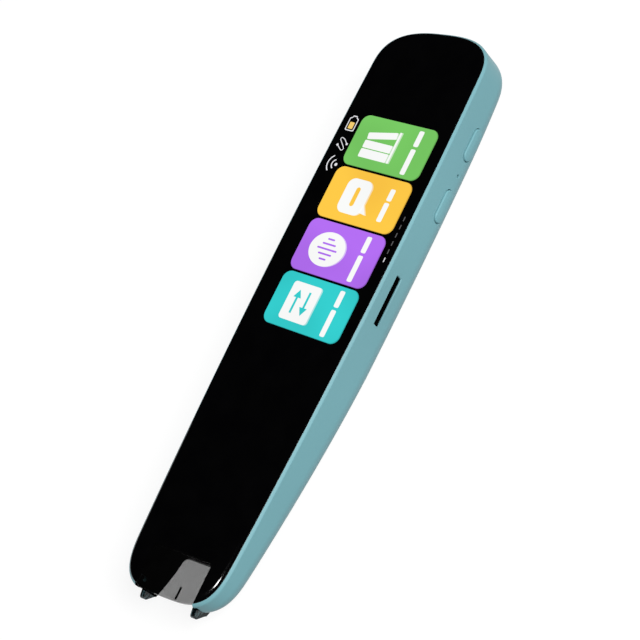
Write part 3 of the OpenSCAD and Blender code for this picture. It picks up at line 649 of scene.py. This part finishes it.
# how far each button lies from its node's middle, towards the head, as the photograph shows it
BUTTON_SHIFTS = {"upper_button": 0.25, "lower_button": 0}
BUTTONS = {}
for key, shift in BUTTON_SHIFTS.items():
    low, high = node_box(key)
    middle = (low + high) / 2
    BUTTONS[key] = {"y": middle[1] + shift, "z": middle[2], "face": high[0]}
BUTTON_Z = BUTTONS["upper_button"]["z"]
MIC_R = 0.4
MIC_Y = float(sum(node_box(key)[side][1] for key in BUTTONS for side in (0, 1)) / 4)
CARD_FROM_TOP = 68.55
CARD_Y = TOP_Y - CARD_FROM_TOP
CARD_W, CARD_H, CARD_ROUND = 12.8, 1.9, 0.15
port_low, port_high = node_box("usb_shell")
PORT_Z = (port_low[2] + port_high[2]) / 2
PORT_W, PORT_H, PORT_GAP = port_high[0] - port_low[0], port_high[2] - port_low[2], 0.15
speaker_low, speaker_high = node_box("speaker_mesh")
SPEAKER_Y = (speaker_low[1] + speaker_high[1]) / 2
HOLE_D, HOLE_PITCH, HOLE_FLARE = 1.28, 2.7, 0.14
# rows and columns of the grille, and how many steps from its middle a hole may lie
GRID, GRID_REACH = range(-3, 4), 4
WIDE_FLARE, FINE_FLARE = 0.12, 0.1


def side_x(y):
    """Where the housing's right side lies at a station."""
    return half_w(y) + RIM


def grille_holes():
    """Cutters of the loudspeaker's 33 holes: a grid without its corners and four inner places."""
    made = []
    for a in GRID:
        for b in GRID:
            if abs(a) + abs(b) > GRID_REACH or (abs(a) == 1 and abs(b) == 1):
                continue
            at = (a * HOLE_PITCH, SPEAKER_Y + b * HOLE_PITCH, 0)
            skin = float(back_z(at[1]))
            radius = HOLE_D / 2
            profile = [(radius + 3 * HOLE_FLARE, skin - 2 * HOLE_FLARE),
                       (radius + HOLE_FLARE, skin), (radius, skin + HOLE_FLARE),
                       (radius, WALL + 1.5)]
            rings = [place(circle_ring(r), "z", at, z) for r, z in profile]
            made.append(loft("hole", rings, None, smooth=False))
    return made


def cutters():
    """Cutters of all openings but the notch."""
    made = grille_holes()
    for button in BUTTONS.values():
        at = (0, button["y"], button["z"])

        def button_ring(inset, x):
            ring = stadium_ring(BUTTON_LEN + 2 * BUTTON_GAP, BUTTON_H + 2 * BUTTON_GAP, inset)
            return place(ring, "x", at, x)
        made.append(flared("button_cut", button_ring, side_x(at[1]), WIDE_FLARE))

    def card_ring(inset, x):
        return place(box_ring(CARD_W, CARD_H, CARD_ROUND, inset), "x", (0, CARD_Y, PORT_Z), x)
    made.append(flared("card_cut", card_ring, side_x(CARD_Y), FINE_FLARE))

    def mic_ring(inset, x):
        return place(circle_ring(MIC_R - inset, 20), "x", (0, MIC_Y, BUTTON_Z), x)
    made.append(flared("mic_cut", mic_ring, side_x(MIC_Y), FINE_FLARE))

    def port_ring(inset, y):
        ring = stadium_ring(PORT_W + 2 * PORT_GAP, PORT_H + 2 * PORT_GAP, inset)
        return place(ring, "y", (0, 0, PORT_Z), y)
    made.append(flared("port_cut", port_ring, TOP_Y + RIM, WIDE_FLARE))
    return joined(made, "cutters")


def notch_cutter():
    """The notch through the back, and the opening under the glass at the tip."""
    low = prism("notch_low", notch_plan(), -PAST, LEDGE_Z - LEDGE_T)
    half, front, back = NOTCH_W / 2, TIP_Y - 5, NOTCH_Y - 4
    mouth = np.array([(-half, front), (half, front), (half, back), (-half, back)])
    boolean(low, prism("notch_high", mouth, BODY_T / 2, BODY_T + PAST), "UNION")
    return low


# a face lies on a surface if its middle is this near to it
NEAR = 0.05
# a face is upright if its normal rises less than the one, and level if more than the other
UPRIGHT, LEVEL = 0.2, 0.9


def paint_notch_shade(shell):
    """Painted shade: matt black on the notch's upright faces and the ledge beside it, seen round
    the guide.
    """
    shell.data.materials.append(EDGE_BLACK)
    for face in shell.data.polygons:
        x, y, z = face.center / MM
        steep = abs(face.normal.z)
        flare = NOTCH_FLARE * max(0, (FLARE_Y - y) / (FLARE_Y - FLARE_END)) ** 2
        across = abs(x) < NOTCH_W / 2 + flare + NEAR
        in_notch = across and y < NOTCH_Y + NEAR and z < LEDGE_Z + 2 * NEAR
        on_ledge = abs(z - LEDGE_Z) < NEAR and y < NOTCH_Y
        if (in_notch and steep < UPRIGHT) or (on_ledge and steep > LEVEL):
            face.material_index = 1


# angles in degrees above which an edge stays sharp
HOUSING_SHARP, GLASS_SHARP, CAP_SHARP, GUIDE_SHARP = 32, 35, 40, 35

housing = housing_shell()
boolean(housing, cutters())
boolean(housing, notch_cutter())
paint_notch_shade(housing)
sharpen(housing, HOUSING_SHARP)
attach(housing, "body")
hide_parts("rear_housing")


LINING_DEPTH, LINING_AIR, LINING_ROUND = 0.35, 0.03, 0.12
LINING_MOUTH = (CARD_W - 1.6, 1.0)


def card_lining():
    """Black insulator that frames the card socket's mouth inside the slot; its glossless matt black
    is painted shade in the slot.
    """
    back = node_box("card_socket")[1][0] + LINING_AIR
    front = side_x(CARD_Y) - LINING_DEPTH
    outer = (CARD_W - 2 * LINING_AIR, CARD_H - 2 * LINING_AIR)
    path = ((LINING_MOUTH, back), (outer, back), (outer, front), (LINING_MOUTH, front),
            (LINING_MOUTH, back))
    rings = [place(box_ring(*size, LINING_ROUND), "x", (0, CARD_Y, PORT_Z), x) for size, x in path]
    return loft("card_lining", rings, EDGE_BLACK, caps="none", smooth=False)


lining = card_lining()
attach(lining, "body")

# ------------------------------------------------------------------ cover glass and sight window

# the glass lies a little lower than its node, which leaves room for the lit picture
GLASS_DROP, GLASS_CHAMFER = 0.04, 0.08
GLASS_TOP = BODY_T - GLASS_DROP
GLASS_BOTTOM = GLASS_LOW[2]
EDGE_FALL_W, EDGE_FALL, EDGE_STEPS = 1.6, 0.12, 14
SIGHT_W, SIGHT_LEN, SIGHT_ROUND, SIGHT_STEPS = 18.4, 10.95, 1.4, 10
# hair between the pane and the glass round it
SIGHT_GAP = 0.01


def glass_plate(name, material):
    """Glass whose face falls away in a long soft curve at its edge."""
    rings = [flat_ring(GLASS_CHAMFER, GLASS_BOTTOM), flat_ring(0.0, GLASS_BOTTOM + GLASS_CHAMFER)]
    for along, up in arc(1.0, 0, 90, EDGE_STEPS):
        rings.append(flat_ring(EDGE_FALL_W * (1 - along), GLASS_TOP - EDGE_FALL * (1 - up)))
    return loft(name, rings, material)


def sight_prism(grow):
    """Upright block that the sight window takes out of the glass."""
    half, end = SIGHT_W / 2 + grow, TIP_Y + SIGHT_LEN + grow
    plan = [(half, TIP_Y - 6)] + corner_of_plan(half, end, SIGHT_ROUND, SIGHT_STEPS)
    return prism("sight_prism", mirrored(plan), GLASS_BOTTOM - PAST, BODY_T + PAST)


def blacken_walls(plate):
    """Matt black on the upright faces where a plate meets the sight window's outline."""
    plate.data.materials.append(EDGE_BLACK)
    end = TIP_Y + SIGHT_LEN
    for face in plate.data.polygons:
        x, y, _ = face.center / MM
        on_side = abs(abs(x) - SIGHT_W / 2) < 2 * NEAR and y < end
        on_end = abs(x) < SIGHT_W / 2 and end - SIGHT_ROUND < y < end + 2 * NEAR
        if abs(face.normal.z) < UPRIGHT / 2 and (on_side or on_end):
            face.material_index = 1


glass = glass_plate("glass_front", BLACK_GLASS)
boolean(glass, sight_prism(0.0))
blacken_walls(glass)
sharpen(glass, GLASS_SHARP)
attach(glass, "body")
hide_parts("cover_glass")

pane = glass_plate("sight_pane", SIGHT)
boolean(pane, sight_prism(-SIGHT_GAP), "INTERSECT")
blacken_walls(pane)
sharpen(pane, GLASS_SHARP)
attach(pane, "body")

# ------------------------------------------------------------------ screen picture

PICTURE_Z = GLASS_TOP
PICTURE_STEP = 0.008
# layers of the picture, each a step above the last
BOTTOM, TILE_FACE, ON_TILE, ICON_FACE, ON_ICON = range(5)
WHITE_RGB = srgb(250, 251, 250)
WHITE = lit_material("lit_white", WHITE_RGB, 1.0, 0.97)
# the tiles reach across the device from left to right, and follow each other from tip to head
TILE_LEFT, TILE_RIGHT = -10.75, 13.35
TILE_MID, TILE_H = (TILE_LEFT + TILE_RIGHT) / 2, TILE_RIGHT - TILE_LEFT
FIRST_TILE, TILE_PITCH, TILE_W = -0.73, 14.55, 13.95
TILE_ROUND = 2.3
# how far the darker lips show below a tile and an icon
TILE_LIP, ICON_LIP = 0.3, 0.4
# slant of the picture: shift along the device for each step across it
PICTURE_LEAN = 0.075
TILES = {
    "cyan": {"colour": srgb(52, 204, 204), "label": 12.0},
    "purple": {"colour": srgb(176, 108, 238), "label": 12.0},
    "yellow": {"colour": srgb(254, 198, 70), "label": 8.8},
    "green": {"colour": srgb(118, 198, 98), "label": 12.0},
}


def inlay(name, loops, level, material):
    """Thin lit shape of the picture: closed loops, even-odd filled, laid on a level."""
    curve = bpy.data.curves.new(name, "CURVE")
    curve.dimensions = "2D"
    curve.fill_mode = "BOTH"
    curve.extrude = PICTURE_STEP * MM / 2
    for loop in loops:
        spline = curve.splines.new("POLY")
        spline.points.add(len(loop) - 1)
        spline.use_cyclic_u = True
        for point, (x, y) in zip(spline.points, loop):
            point.co = (x * MM, y * MM, 0, 1)
    draft = bpy.data.objects.new(name + "_draft", curve)
    bpy.context.collection.objects.link(draft)
    bpy.context.view_layer.update()
    mesh = evaluated_mesh(draft)
    bpy.data.objects.remove(draft)
    mesh.name = name
    height = (PICTURE_Z + PICTURE_STEP * (level + 0.5)) * MM
    mesh.transform(Matrix.Translation((0, 0, height)))
    mesh.materials.clear()
    mesh.materials.append(material)
    obj = bpy.data.objects.new(name, mesh)
    bpy.context.collection.objects.link(obj)
    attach(obj, "body")


def spot(u, v, tile):
    """Device place of a point of a tile's picture: u to the right, v up, from the tile's middle."""
    return TILE_MID - v, tile["middle"] + u + PICTURE_LEAN * v


def turned(ring, degrees):
    """A flat ring turned about the origin."""
    a = math.radians(degrees)
    return ring @ np.array([[math.cos(a), math.sin(a)], [-math.sin(a), math.cos(a)]])


def laid(ring, u, v, tile):
    """A ring of the picture's own plane, set at (u, v) on a tile."""
    return [spot(u + a, v + b, tile) for a, b in ring]


def bar(length, height):
    """Bar with round ends."""
    return stadium_ring(length, height, count=8)


def mixed(one, other, share):
    """Colour a share of the way from one to the other."""
    return tuple(a * (1 - share) + b * share for a, b in zip(one, other))


def raised(name, ring, u, v, tile):
    """White shape of a tile with a tinted lip under it."""
    inlay(name + "_lip", [laid(ring, u, v - ICON_LIP, tile)], ON_TILE, tile["tint"])
    inlay(name, [laid(ring, u, v, tile)], ICON_FACE, WHITE)


END_STEPS = 7


def band_loop(path, width):
    """Outline of a stroke with round ends along a path."""
    path = np.asarray(path, float)
    way = np.gradient(path, axis=0)
    way /= np.linalg.norm(way, axis=1)[:, None]
    side = np.column_stack([-way[:, 1], way[:, 0]]) * width / 2
    left, right = path + side, path - side
    ends = []
    for end, direction in ((path[-1], way[-1]), (path[0], -way[0])):
        start = math.atan2(direction[1], direction[0])
        ends.append([end + width / 2 * np.array([math.cos(start + a), math.sin(start + a)])
                     for a in np.radians(np.linspace(90, -90, END_STEPS))])
    return np.vstack([left, ends[0], right[::-1], ends[1]])


LIP_SHADE, TINT_SHARE = 0.72, 0.45
LABEL_V, LABEL_H, LABEL_ROUND = -6.9, 1.5, 0.4
LABEL_SHARES = (0.58, 0.36)
ICON_U, ICON_V = 0.05, 3.45

for index, (key, tile) in enumerate(TILES.items()):
    tile["middle"] = FIRST_TILE + index * TILE_PITCH
    tile["material"] = lit_material("lit_" + key, tile["colour"])
    tile["lip"] = lit_material("lip_" + key, shade(tile["colour"], LIP_SHADE))
    tile["tint"] = lit_material("tint_" + key, mixed(tile["colour"], WHITE_RGB, TINT_SHARE))
    base = box_ring(TILE_W, TILE_H, TILE_ROUND, count=12)
    inlay("tile_lip_" + key, [laid(base, 0, 0, tile)], BOTTOM, tile["lip"])
    face = box_ring(TILE_W - TILE_LIP / 2, TILE_H - TILE_LIP, TILE_ROUND, count=12)
    face = laid(face, TILE_LIP / 4, TILE_LIP / 2, tile)
    inlay("tile_" + key, [face], TILE_FACE, tile["material"])
    # two plain bars stand where the tile's name would be
    long, short = (share * tile["label"] for share in LABEL_SHARES)
    bars = ((long, (long - tile["label"]) / 2), (short, (tile["label"] - short) / 2))
    marks = [laid(box_ring(length, LABEL_H, LABEL_ROUND), u, LABEL_V, tile) for length, u in bars]
    inlay("label_" + key, marks, ON_TILE, WHITE)

# cyan: a white card with an arrow each way
tile = TILES["cyan"]
raised("card", box_ring(9.9, 8.8, 0.9, count=8), ICON_U, ICON_V, tile)
half_arrow = [(-3.1, 0.32), (1.0, 0.32), (1.0, 1.2), (3.1, 0)]
arrow = np.array(half_arrow + [(a, -b) for a, b in half_arrow[-2::-1]])
for side, name in ((1, "card_arrow_right"), (-1, "card_arrow_left")):
    inlay(name, [laid(arrow * side, ICON_U, ICON_V + side * 1.6, tile)], ON_ICON, tile["material"])

# purple: a white disc with sound bars
tile = TILES["purple"]
raised("disc", circle_ring(1.0, 56) * [4.5, 5.4], 0, ICON_V, tile)
SOUND_BARS, SOUND_W, SOUND_PITCH = (2.2, 4.2, 6.2, 4.2, 2.2), 0.46, 1.32
for index, length in enumerate(SOUND_BARS):
    mark = laid(turned(bar(length, SOUND_W), 90), (index - 2) * SOUND_PITCH, ICON_V, tile)
    inlay("sound_bar_%d" % index, [mark], ON_ICON, tile["material"])

# yellow: a speech bubble that holds one line
tile = TILES["yellow"]
raised("bubble", box_ring(9.4, 7.6, 2.1, count=8), ICON_U, ICON_V - 0.4, tile)
tail = np.array([(-3.6, -3.2), (-1.2, -3.6), (-3.9, -5.4)])
raised("bubble_tail", tail, ICON_U, ICON_V - 0.4, tile)
inlay("bubble_line", [laid(bar(5.2, 1.25), ICON_U, ICON_V - 0.5, tile)], ON_ICON, tile["material"])

# green: a row of books on a shelf
tile = TILES["green"]
BOOKS = ((-3.08, 2.35, 0), (-0.6, 2.1, 0), (2.4, 1.8, 11))
for index, (u, width, lean) in enumerate(BOOKS):
    book = turned(box_ring(width, 8.7, 0.3, count=4), lean)
    raised("book_%d" % index, book, u, ICON_V + 0.3, tile)
raised("shelf", box_ring(8.6, 0.62, 0.15, count=4), ICON_U, ICON_V - 4.65, tile)

# status marks along the left edge: battery, link and radio waves
GREY_LIT = lit_material("lit_mark", srgb(232, 232, 236), 1.0, 0.95)


def marked(u, v):
    """Device place of a point of the status row: u to the right, v up."""
    return np.array([-v, u + PICTURE_LEAN * v])


def stroke(name, path, width):
    """Lit stroke along a path of the status row."""
    inlay(name, [band_loop([marked(*point) for point in path], width)], BOTTOM, GREY_LIT)


def status_ring(ring, at):
    """A ring set at a place of the status row."""
    return [marked(*(at + point)) for point in ring]


def curved(points, steps=10):
    """Smooth path through points, as a Catmull-Rom spline."""
    points = np.asarray(points, float)
    padded = np.vstack([2 * points[0] - points[1], points, 2 * points[-1] - points[-2]])
    path = []
    for p, q, r, w in zip(padded, padded[1:], padded[2:], padded[3:]):
        for t in np.linspace(0, 1, steps, endpoint=False):
            path.append(0.5 * (2 * q + (r - p) * t + (2 * p - 5 * q + 4 * r - w) * t * t
                               + (3 * q - p - 3 * r + w) * t ** 3))
    return np.vstack([path, points[-1]])


BATTERY = np.array([46.75, 13.15])
CASE_T = 0.27
CASE = np.array([(-2.12, -1.15), (-1.85, -1.42), (1.35, -1.42), (1.75, -0.75), (2.15, -0.6),
                 (2.15, 0.6), (1.75, 0.75), (1.35, 1.42), (-1.85, 1.42), (-2.12, 1.15)])
hollow = CASE * (1 - CASE_T / CASE.max(axis=0))
charge = box_ring(1.85, 1.45, 0.15, count=3) - (0.6, 0)
inlay("battery_case", [status_ring(ring, BATTERY) for ring in (CASE, hollow)], BOTTOM, GREY_LIT)
inlay("battery_charge", [status_ring(charge, BATTERY)], BOTTOM,
      lit_material("lit_charge", srgb(244, 206, 112)))
LINK = np.array([40.75, 13.1])
link = curved([(-0.36, 1.23), (-1.15, 0.13), (-1.55, -0.6), (-1.2, -1.05), (-0.7, -0.91),
               (0.46, 0.3), (1.04, 0.94), (1.51, 1.09), (1.76, 0.73), (1.4, -0.25), (0.34, -1.42)])
stroke("link_wave", LINK + link, 0.2)
for index, end in enumerate((link[0], link[-1])):
    dot = circle_ring(0.32, 16) + marked(*(LINK + end))
    inlay("link_end_%d" % index, [dot], BOTTOM + 1, GREY_LIT)
RADIO = np.array([35.25, 11.85])
for index, (radius, start, end) in enumerate(((1.32, 28, 147), (2.66, 38, 137))):
    turn = np.radians(np.linspace(start, end, 19))
    path = RADIO + radius * np.column_stack([np.cos(turn), np.sin(turn)])
    stroke("radio_arc_%d" % index, path, 0.31)
inlay("radio_dot", [circle_ring(0.42, 16) + marked(*RADIO)], BOTTOM, GREY_LIT)

# page marks along the right edge
PAGE_X, PAGE_Y, PAGE_PITCH, PAGES = 14.95, 14.45, 2.19, 6
FAINT = lit_material("lit_faint", srgb(96, 96, 98), 1.0, 0.9)
for index in range(PAGES):
    mark = box_ring(0.26, 1.2, 0.1, count=3) + (PAGE_X, PAGE_Y + index * PAGE_PITCH)
    inlay("page_mark_%d" % index, [mark], BOTTOM, FAINT if index else GREY_LIT)

# ------------------------------------------------------------------ side buttons

# the cap fills its opening but for a hair; its edge is rounded and its face crowned
CAP_GROW, CAP_EDGE, CAP_CROWN, CAP_STEPS = 0.14, 0.4, 0.12, 9
CROWN_SHARES = (0.35, 0.6, 0.85)
CAP_LEN, CAP_H = BUTTON_LEN + CAP_GROW, BUTTON_H + CAP_GROW
EAR_GAP, EAR_T, EAR_REACH = 0.4, 0.6, 2.8


def button_cap(key):
    """Pillow-topped button on its retaining ears."""
    at = BUTTONS[key]
    centre = (0, at["y"], at["z"])
    flat = at["face"] - CAP_CROWN
    ears_x = side_x(at["y"]) - WALL - EAR_GAP
    levels = [(0.0, ears_x)]
    for along, up in arc(CAP_EDGE, 0, 90, CAP_STEPS):
        levels.append((CAP_EDGE - along, flat - CAP_EDGE + up))
    for share in CROWN_SHARES:
        inset = CAP_EDGE + (CAP_H / 2 - CAP_EDGE) * share
        levels.append((inset, flat + CAP_CROWN * math.sin(share * math.pi / 2)))
    rings = [place(stadium_ring(CAP_LEN, CAP_H, inset), "x", centre, x) for inset, x in levels]
    cap = loft(key + "_cap", rings, PAINT)
    ears_ring = stadium_ring(BUTTON_LEN + EAR_REACH, BUTTON_H)
    rings = [place(ears_ring, "x", centre, x) for x in (ears_x - EAR_T, ears_x)]
    ears = loft(key + "_ears", rings, PAINT)
    for piece in (cap, ears):
        sharpen(piece, CAP_SHARP)
        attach(piece, key)
    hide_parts(key)


for key in BUTTONS:
    button_cap(key)

# ------------------------------------------------------------------ scan guide

GUIDE_EDGE, LENS_EDGE = 0.25, 0.08
AIM_W = 0.56

guide = frame["nodes"]["scan_guide"]
bevel(guide, GUIDE_EDGE, 3)
bevel(frame["nodes"]["tip_lens"], LENS_EDGE, 2)
guide.data.shade_smooth()
guide.data.set_sharp_from_angle(angle=math.radians(GUIDE_SHARP))

aim_low, aim_high = node_box("aim_mark")
aim_at = ((aim_low[0] + aim_high[0]) / 2, (aim_low[1] + aim_high[1]) / 2, 0)
aim_ring = stadium_ring(aim_high[1] - aim_low[1], AIM_W)[:, ::-1]
aim_rings = [place(aim_ring, "z", aim_at, z) for z in (aim_high[2], aim_low[2])]
aim = loft("aim_line", aim_rings, FINISHES["mark"], smooth=False)
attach(aim, "scan_guide")
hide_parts("aim_mark")

# ------------------------------------------------------------------ stage, lights and camera

# floor: its grey as a bounce, its grey and its glow where it is seen
FLOOR_BOUNCE, FLOOR_SHOWN, FLOOR_GLOW = 0.08, 0.22, 0.85
FLOOR_REACH, FLOOR_Z = 3000, -0.05


def backdrop_rays(tree):
    """The Light Path node, and 1 for camera, glossy and transmission rays, which see white."""
    rays = node(tree, "ShaderNodeLightPath")
    total = rays.outputs["Is Camera Ray"]
    for name in ("Is Glossy Ray", "Is Transmission Ray"):
        total = calculated(tree, "MAXIMUM", total, rays.outputs[name])
    return rays, total


def build_stage():
    """Pale floor that runs far past the view: white where it is seen, grey as a bounce."""
    material, tree, shader = base_material("floor_pale")
    tone = noise(tree, 400, 1.0)
    colours = ramp(tree, tone.outputs["Fac"], [(0.3, (0.98, 0.98, 0.98, 1)), (0.7, (1, 1, 1, 1))])
    _, shown = backdrop_rays(tree)
    level = spread(tree, shown, FLOOR_BOUNCE, FLOOR_SHOWN)
    tint = mix_colours(tree, level.outputs["Result"], (0, 0, 0, 1), colours.outputs["Color"])
    tree.links.new(tint, shader.inputs["Base Color"])
    glow = spread(tree, shown, 0.0, FLOOR_GLOW)
    tree.links.new(glow.outputs["Result"], shader.inputs["Emission Strength"])
    shader.inputs["Emission Color"].default_value = (1, 1, 1, 1)
    shader.inputs["Roughness"].default_value = 0.9
    shader.inputs["Specular IOR Level"].default_value = 0.0
    corners = [(x * FLOOR_REACH, y * FLOOR_REACH, FLOOR_Z)
               for x, y in ((-1, -1), (1, -1), (1, 1), (-1, 1))]
    floor = new_object("floor", corners, [(0, 1, 2, 3)], material, smooth=False)


def area_light(name, at_mm, aim_mm, size_mm, watts):
    """Rectangular lamp that faces a point."""
    light = bpy.data.lights.new(name, "AREA")
    light.shape = "RECTANGLE"
    light.size, light.size_y = size_mm[0] * MM, size_mm[1] * MM
    light.energy = watts
    obj = bpy.data.objects.new(name, light)
    bpy.context.collection.objects.link(obj)
    at, aim = Vector(at_mm) * MM, Vector(aim_mm) * MM
    obj.location = at
    obj.rotation_euler = (aim - at).to_track_quat("-Z", "Y").to_euler()


SKY = 0.45
# direction of the flag: it is black within FLAG_CORE degrees of it, and faded out at FLAG_EDGE
FLAG_AT = Vector((-0.633, 0.263, 0.728)).normalized()
FLAG_CORE, FLAG_EDGE = 36, 56


def build_world():
    """Even sky with one black flag, which the glass reflects; the seen backdrop is white."""
    world = bpy.data.worlds.new("studio")
    bpy.context.scene.world = world
    world.use_nodes = True
    tree = world.node_tree
    background = tree.nodes["Background"]
    background.inputs["Color"].default_value = (1, 1, 1, 1)
    rays, shown = backdrop_rays(tree)
    level = spread(tree, shown, SKY, 1.0)
    place_node = node(tree, "ShaderNodeTexCoord")
    facing = node(tree, "ShaderNodeVectorMath", operation="DOT_PRODUCT")
    facing.inputs[1].default_value = FLAG_AT
    tree.links.new(place_node.outputs["Generated"], facing.inputs[0])
    clear = node(tree, "ShaderNodeMapRange", interpolation_type="SMOOTHSTEP")
    clear.inputs["From Min"].default_value = math.cos(math.radians(FLAG_EDGE))
    clear.inputs["From Max"].default_value = math.cos(math.radians(FLAG_CORE))
    clear.inputs["To Min"].default_value = 1.0
    clear.inputs["To Max"].default_value = 0.0
    tree.links.new(facing.outputs["Value"], clear.inputs["Value"])
    open_sky = calculated(tree, "MAXIMUM", clear.outputs["Result"], rays.outputs["Is Camera Ray"])
    strength = calculated(tree, "MULTIPLY", level.outputs["Result"], open_sky)
    tree.links.new(strength, background.inputs["Strength"])


build_stage()
build_world()
MIDDLE, SOFTBOX = (0, 0, 7), (420, 420)
area_light("key", (640, 60, 560), MIDDLE, SOFTBOX, 6.4)
area_light("fill", (-640, -120, 190), MIDDLE, SOFTBOX, 1.1)
# a small lamp that draws one glint on the curved edge of the glass at the tip
area_light("glint", (-251, -21, 375), (13, -68, 14), (9, 17), 0.02)

# the photograph's camera, solved from the glass's outline
CAMERA_AT = (285.2, -119.3, 335.2)
CAMERA_AIM = (5.7, -3.4, 14.0)
CAMERA_ROLL = -46.77
FOCAL_PX = 1928.9
PHOTO_PX = 640
SENSOR = 36

camera_data = bpy.data.cameras.new("camera")
camera_data.sensor_width = SENSOR
camera_data.lens = FOCAL_PX / PHOTO_PX * SENSOR
camera_data.clip_start = 0.01
camera = bpy.data.objects.new("camera", camera_data)
bpy.context.collection.objects.link(camera)
look = Vector(CAMERA_AIM) - Vector(CAMERA_AT)
roll = Matrix.Rotation(math.radians(CAMERA_ROLL), 3, "Z")
turn = look.to_track_quat("-Z", "Y").to_matrix() @ roll
camera.matrix_world = Matrix.Translation(Vector(CAMERA_AT) * MM) @ turn.to_4x4()
bpy.context.scene.camera = camera

bpy.context.scene.view_settings.view_transform = "Standard"
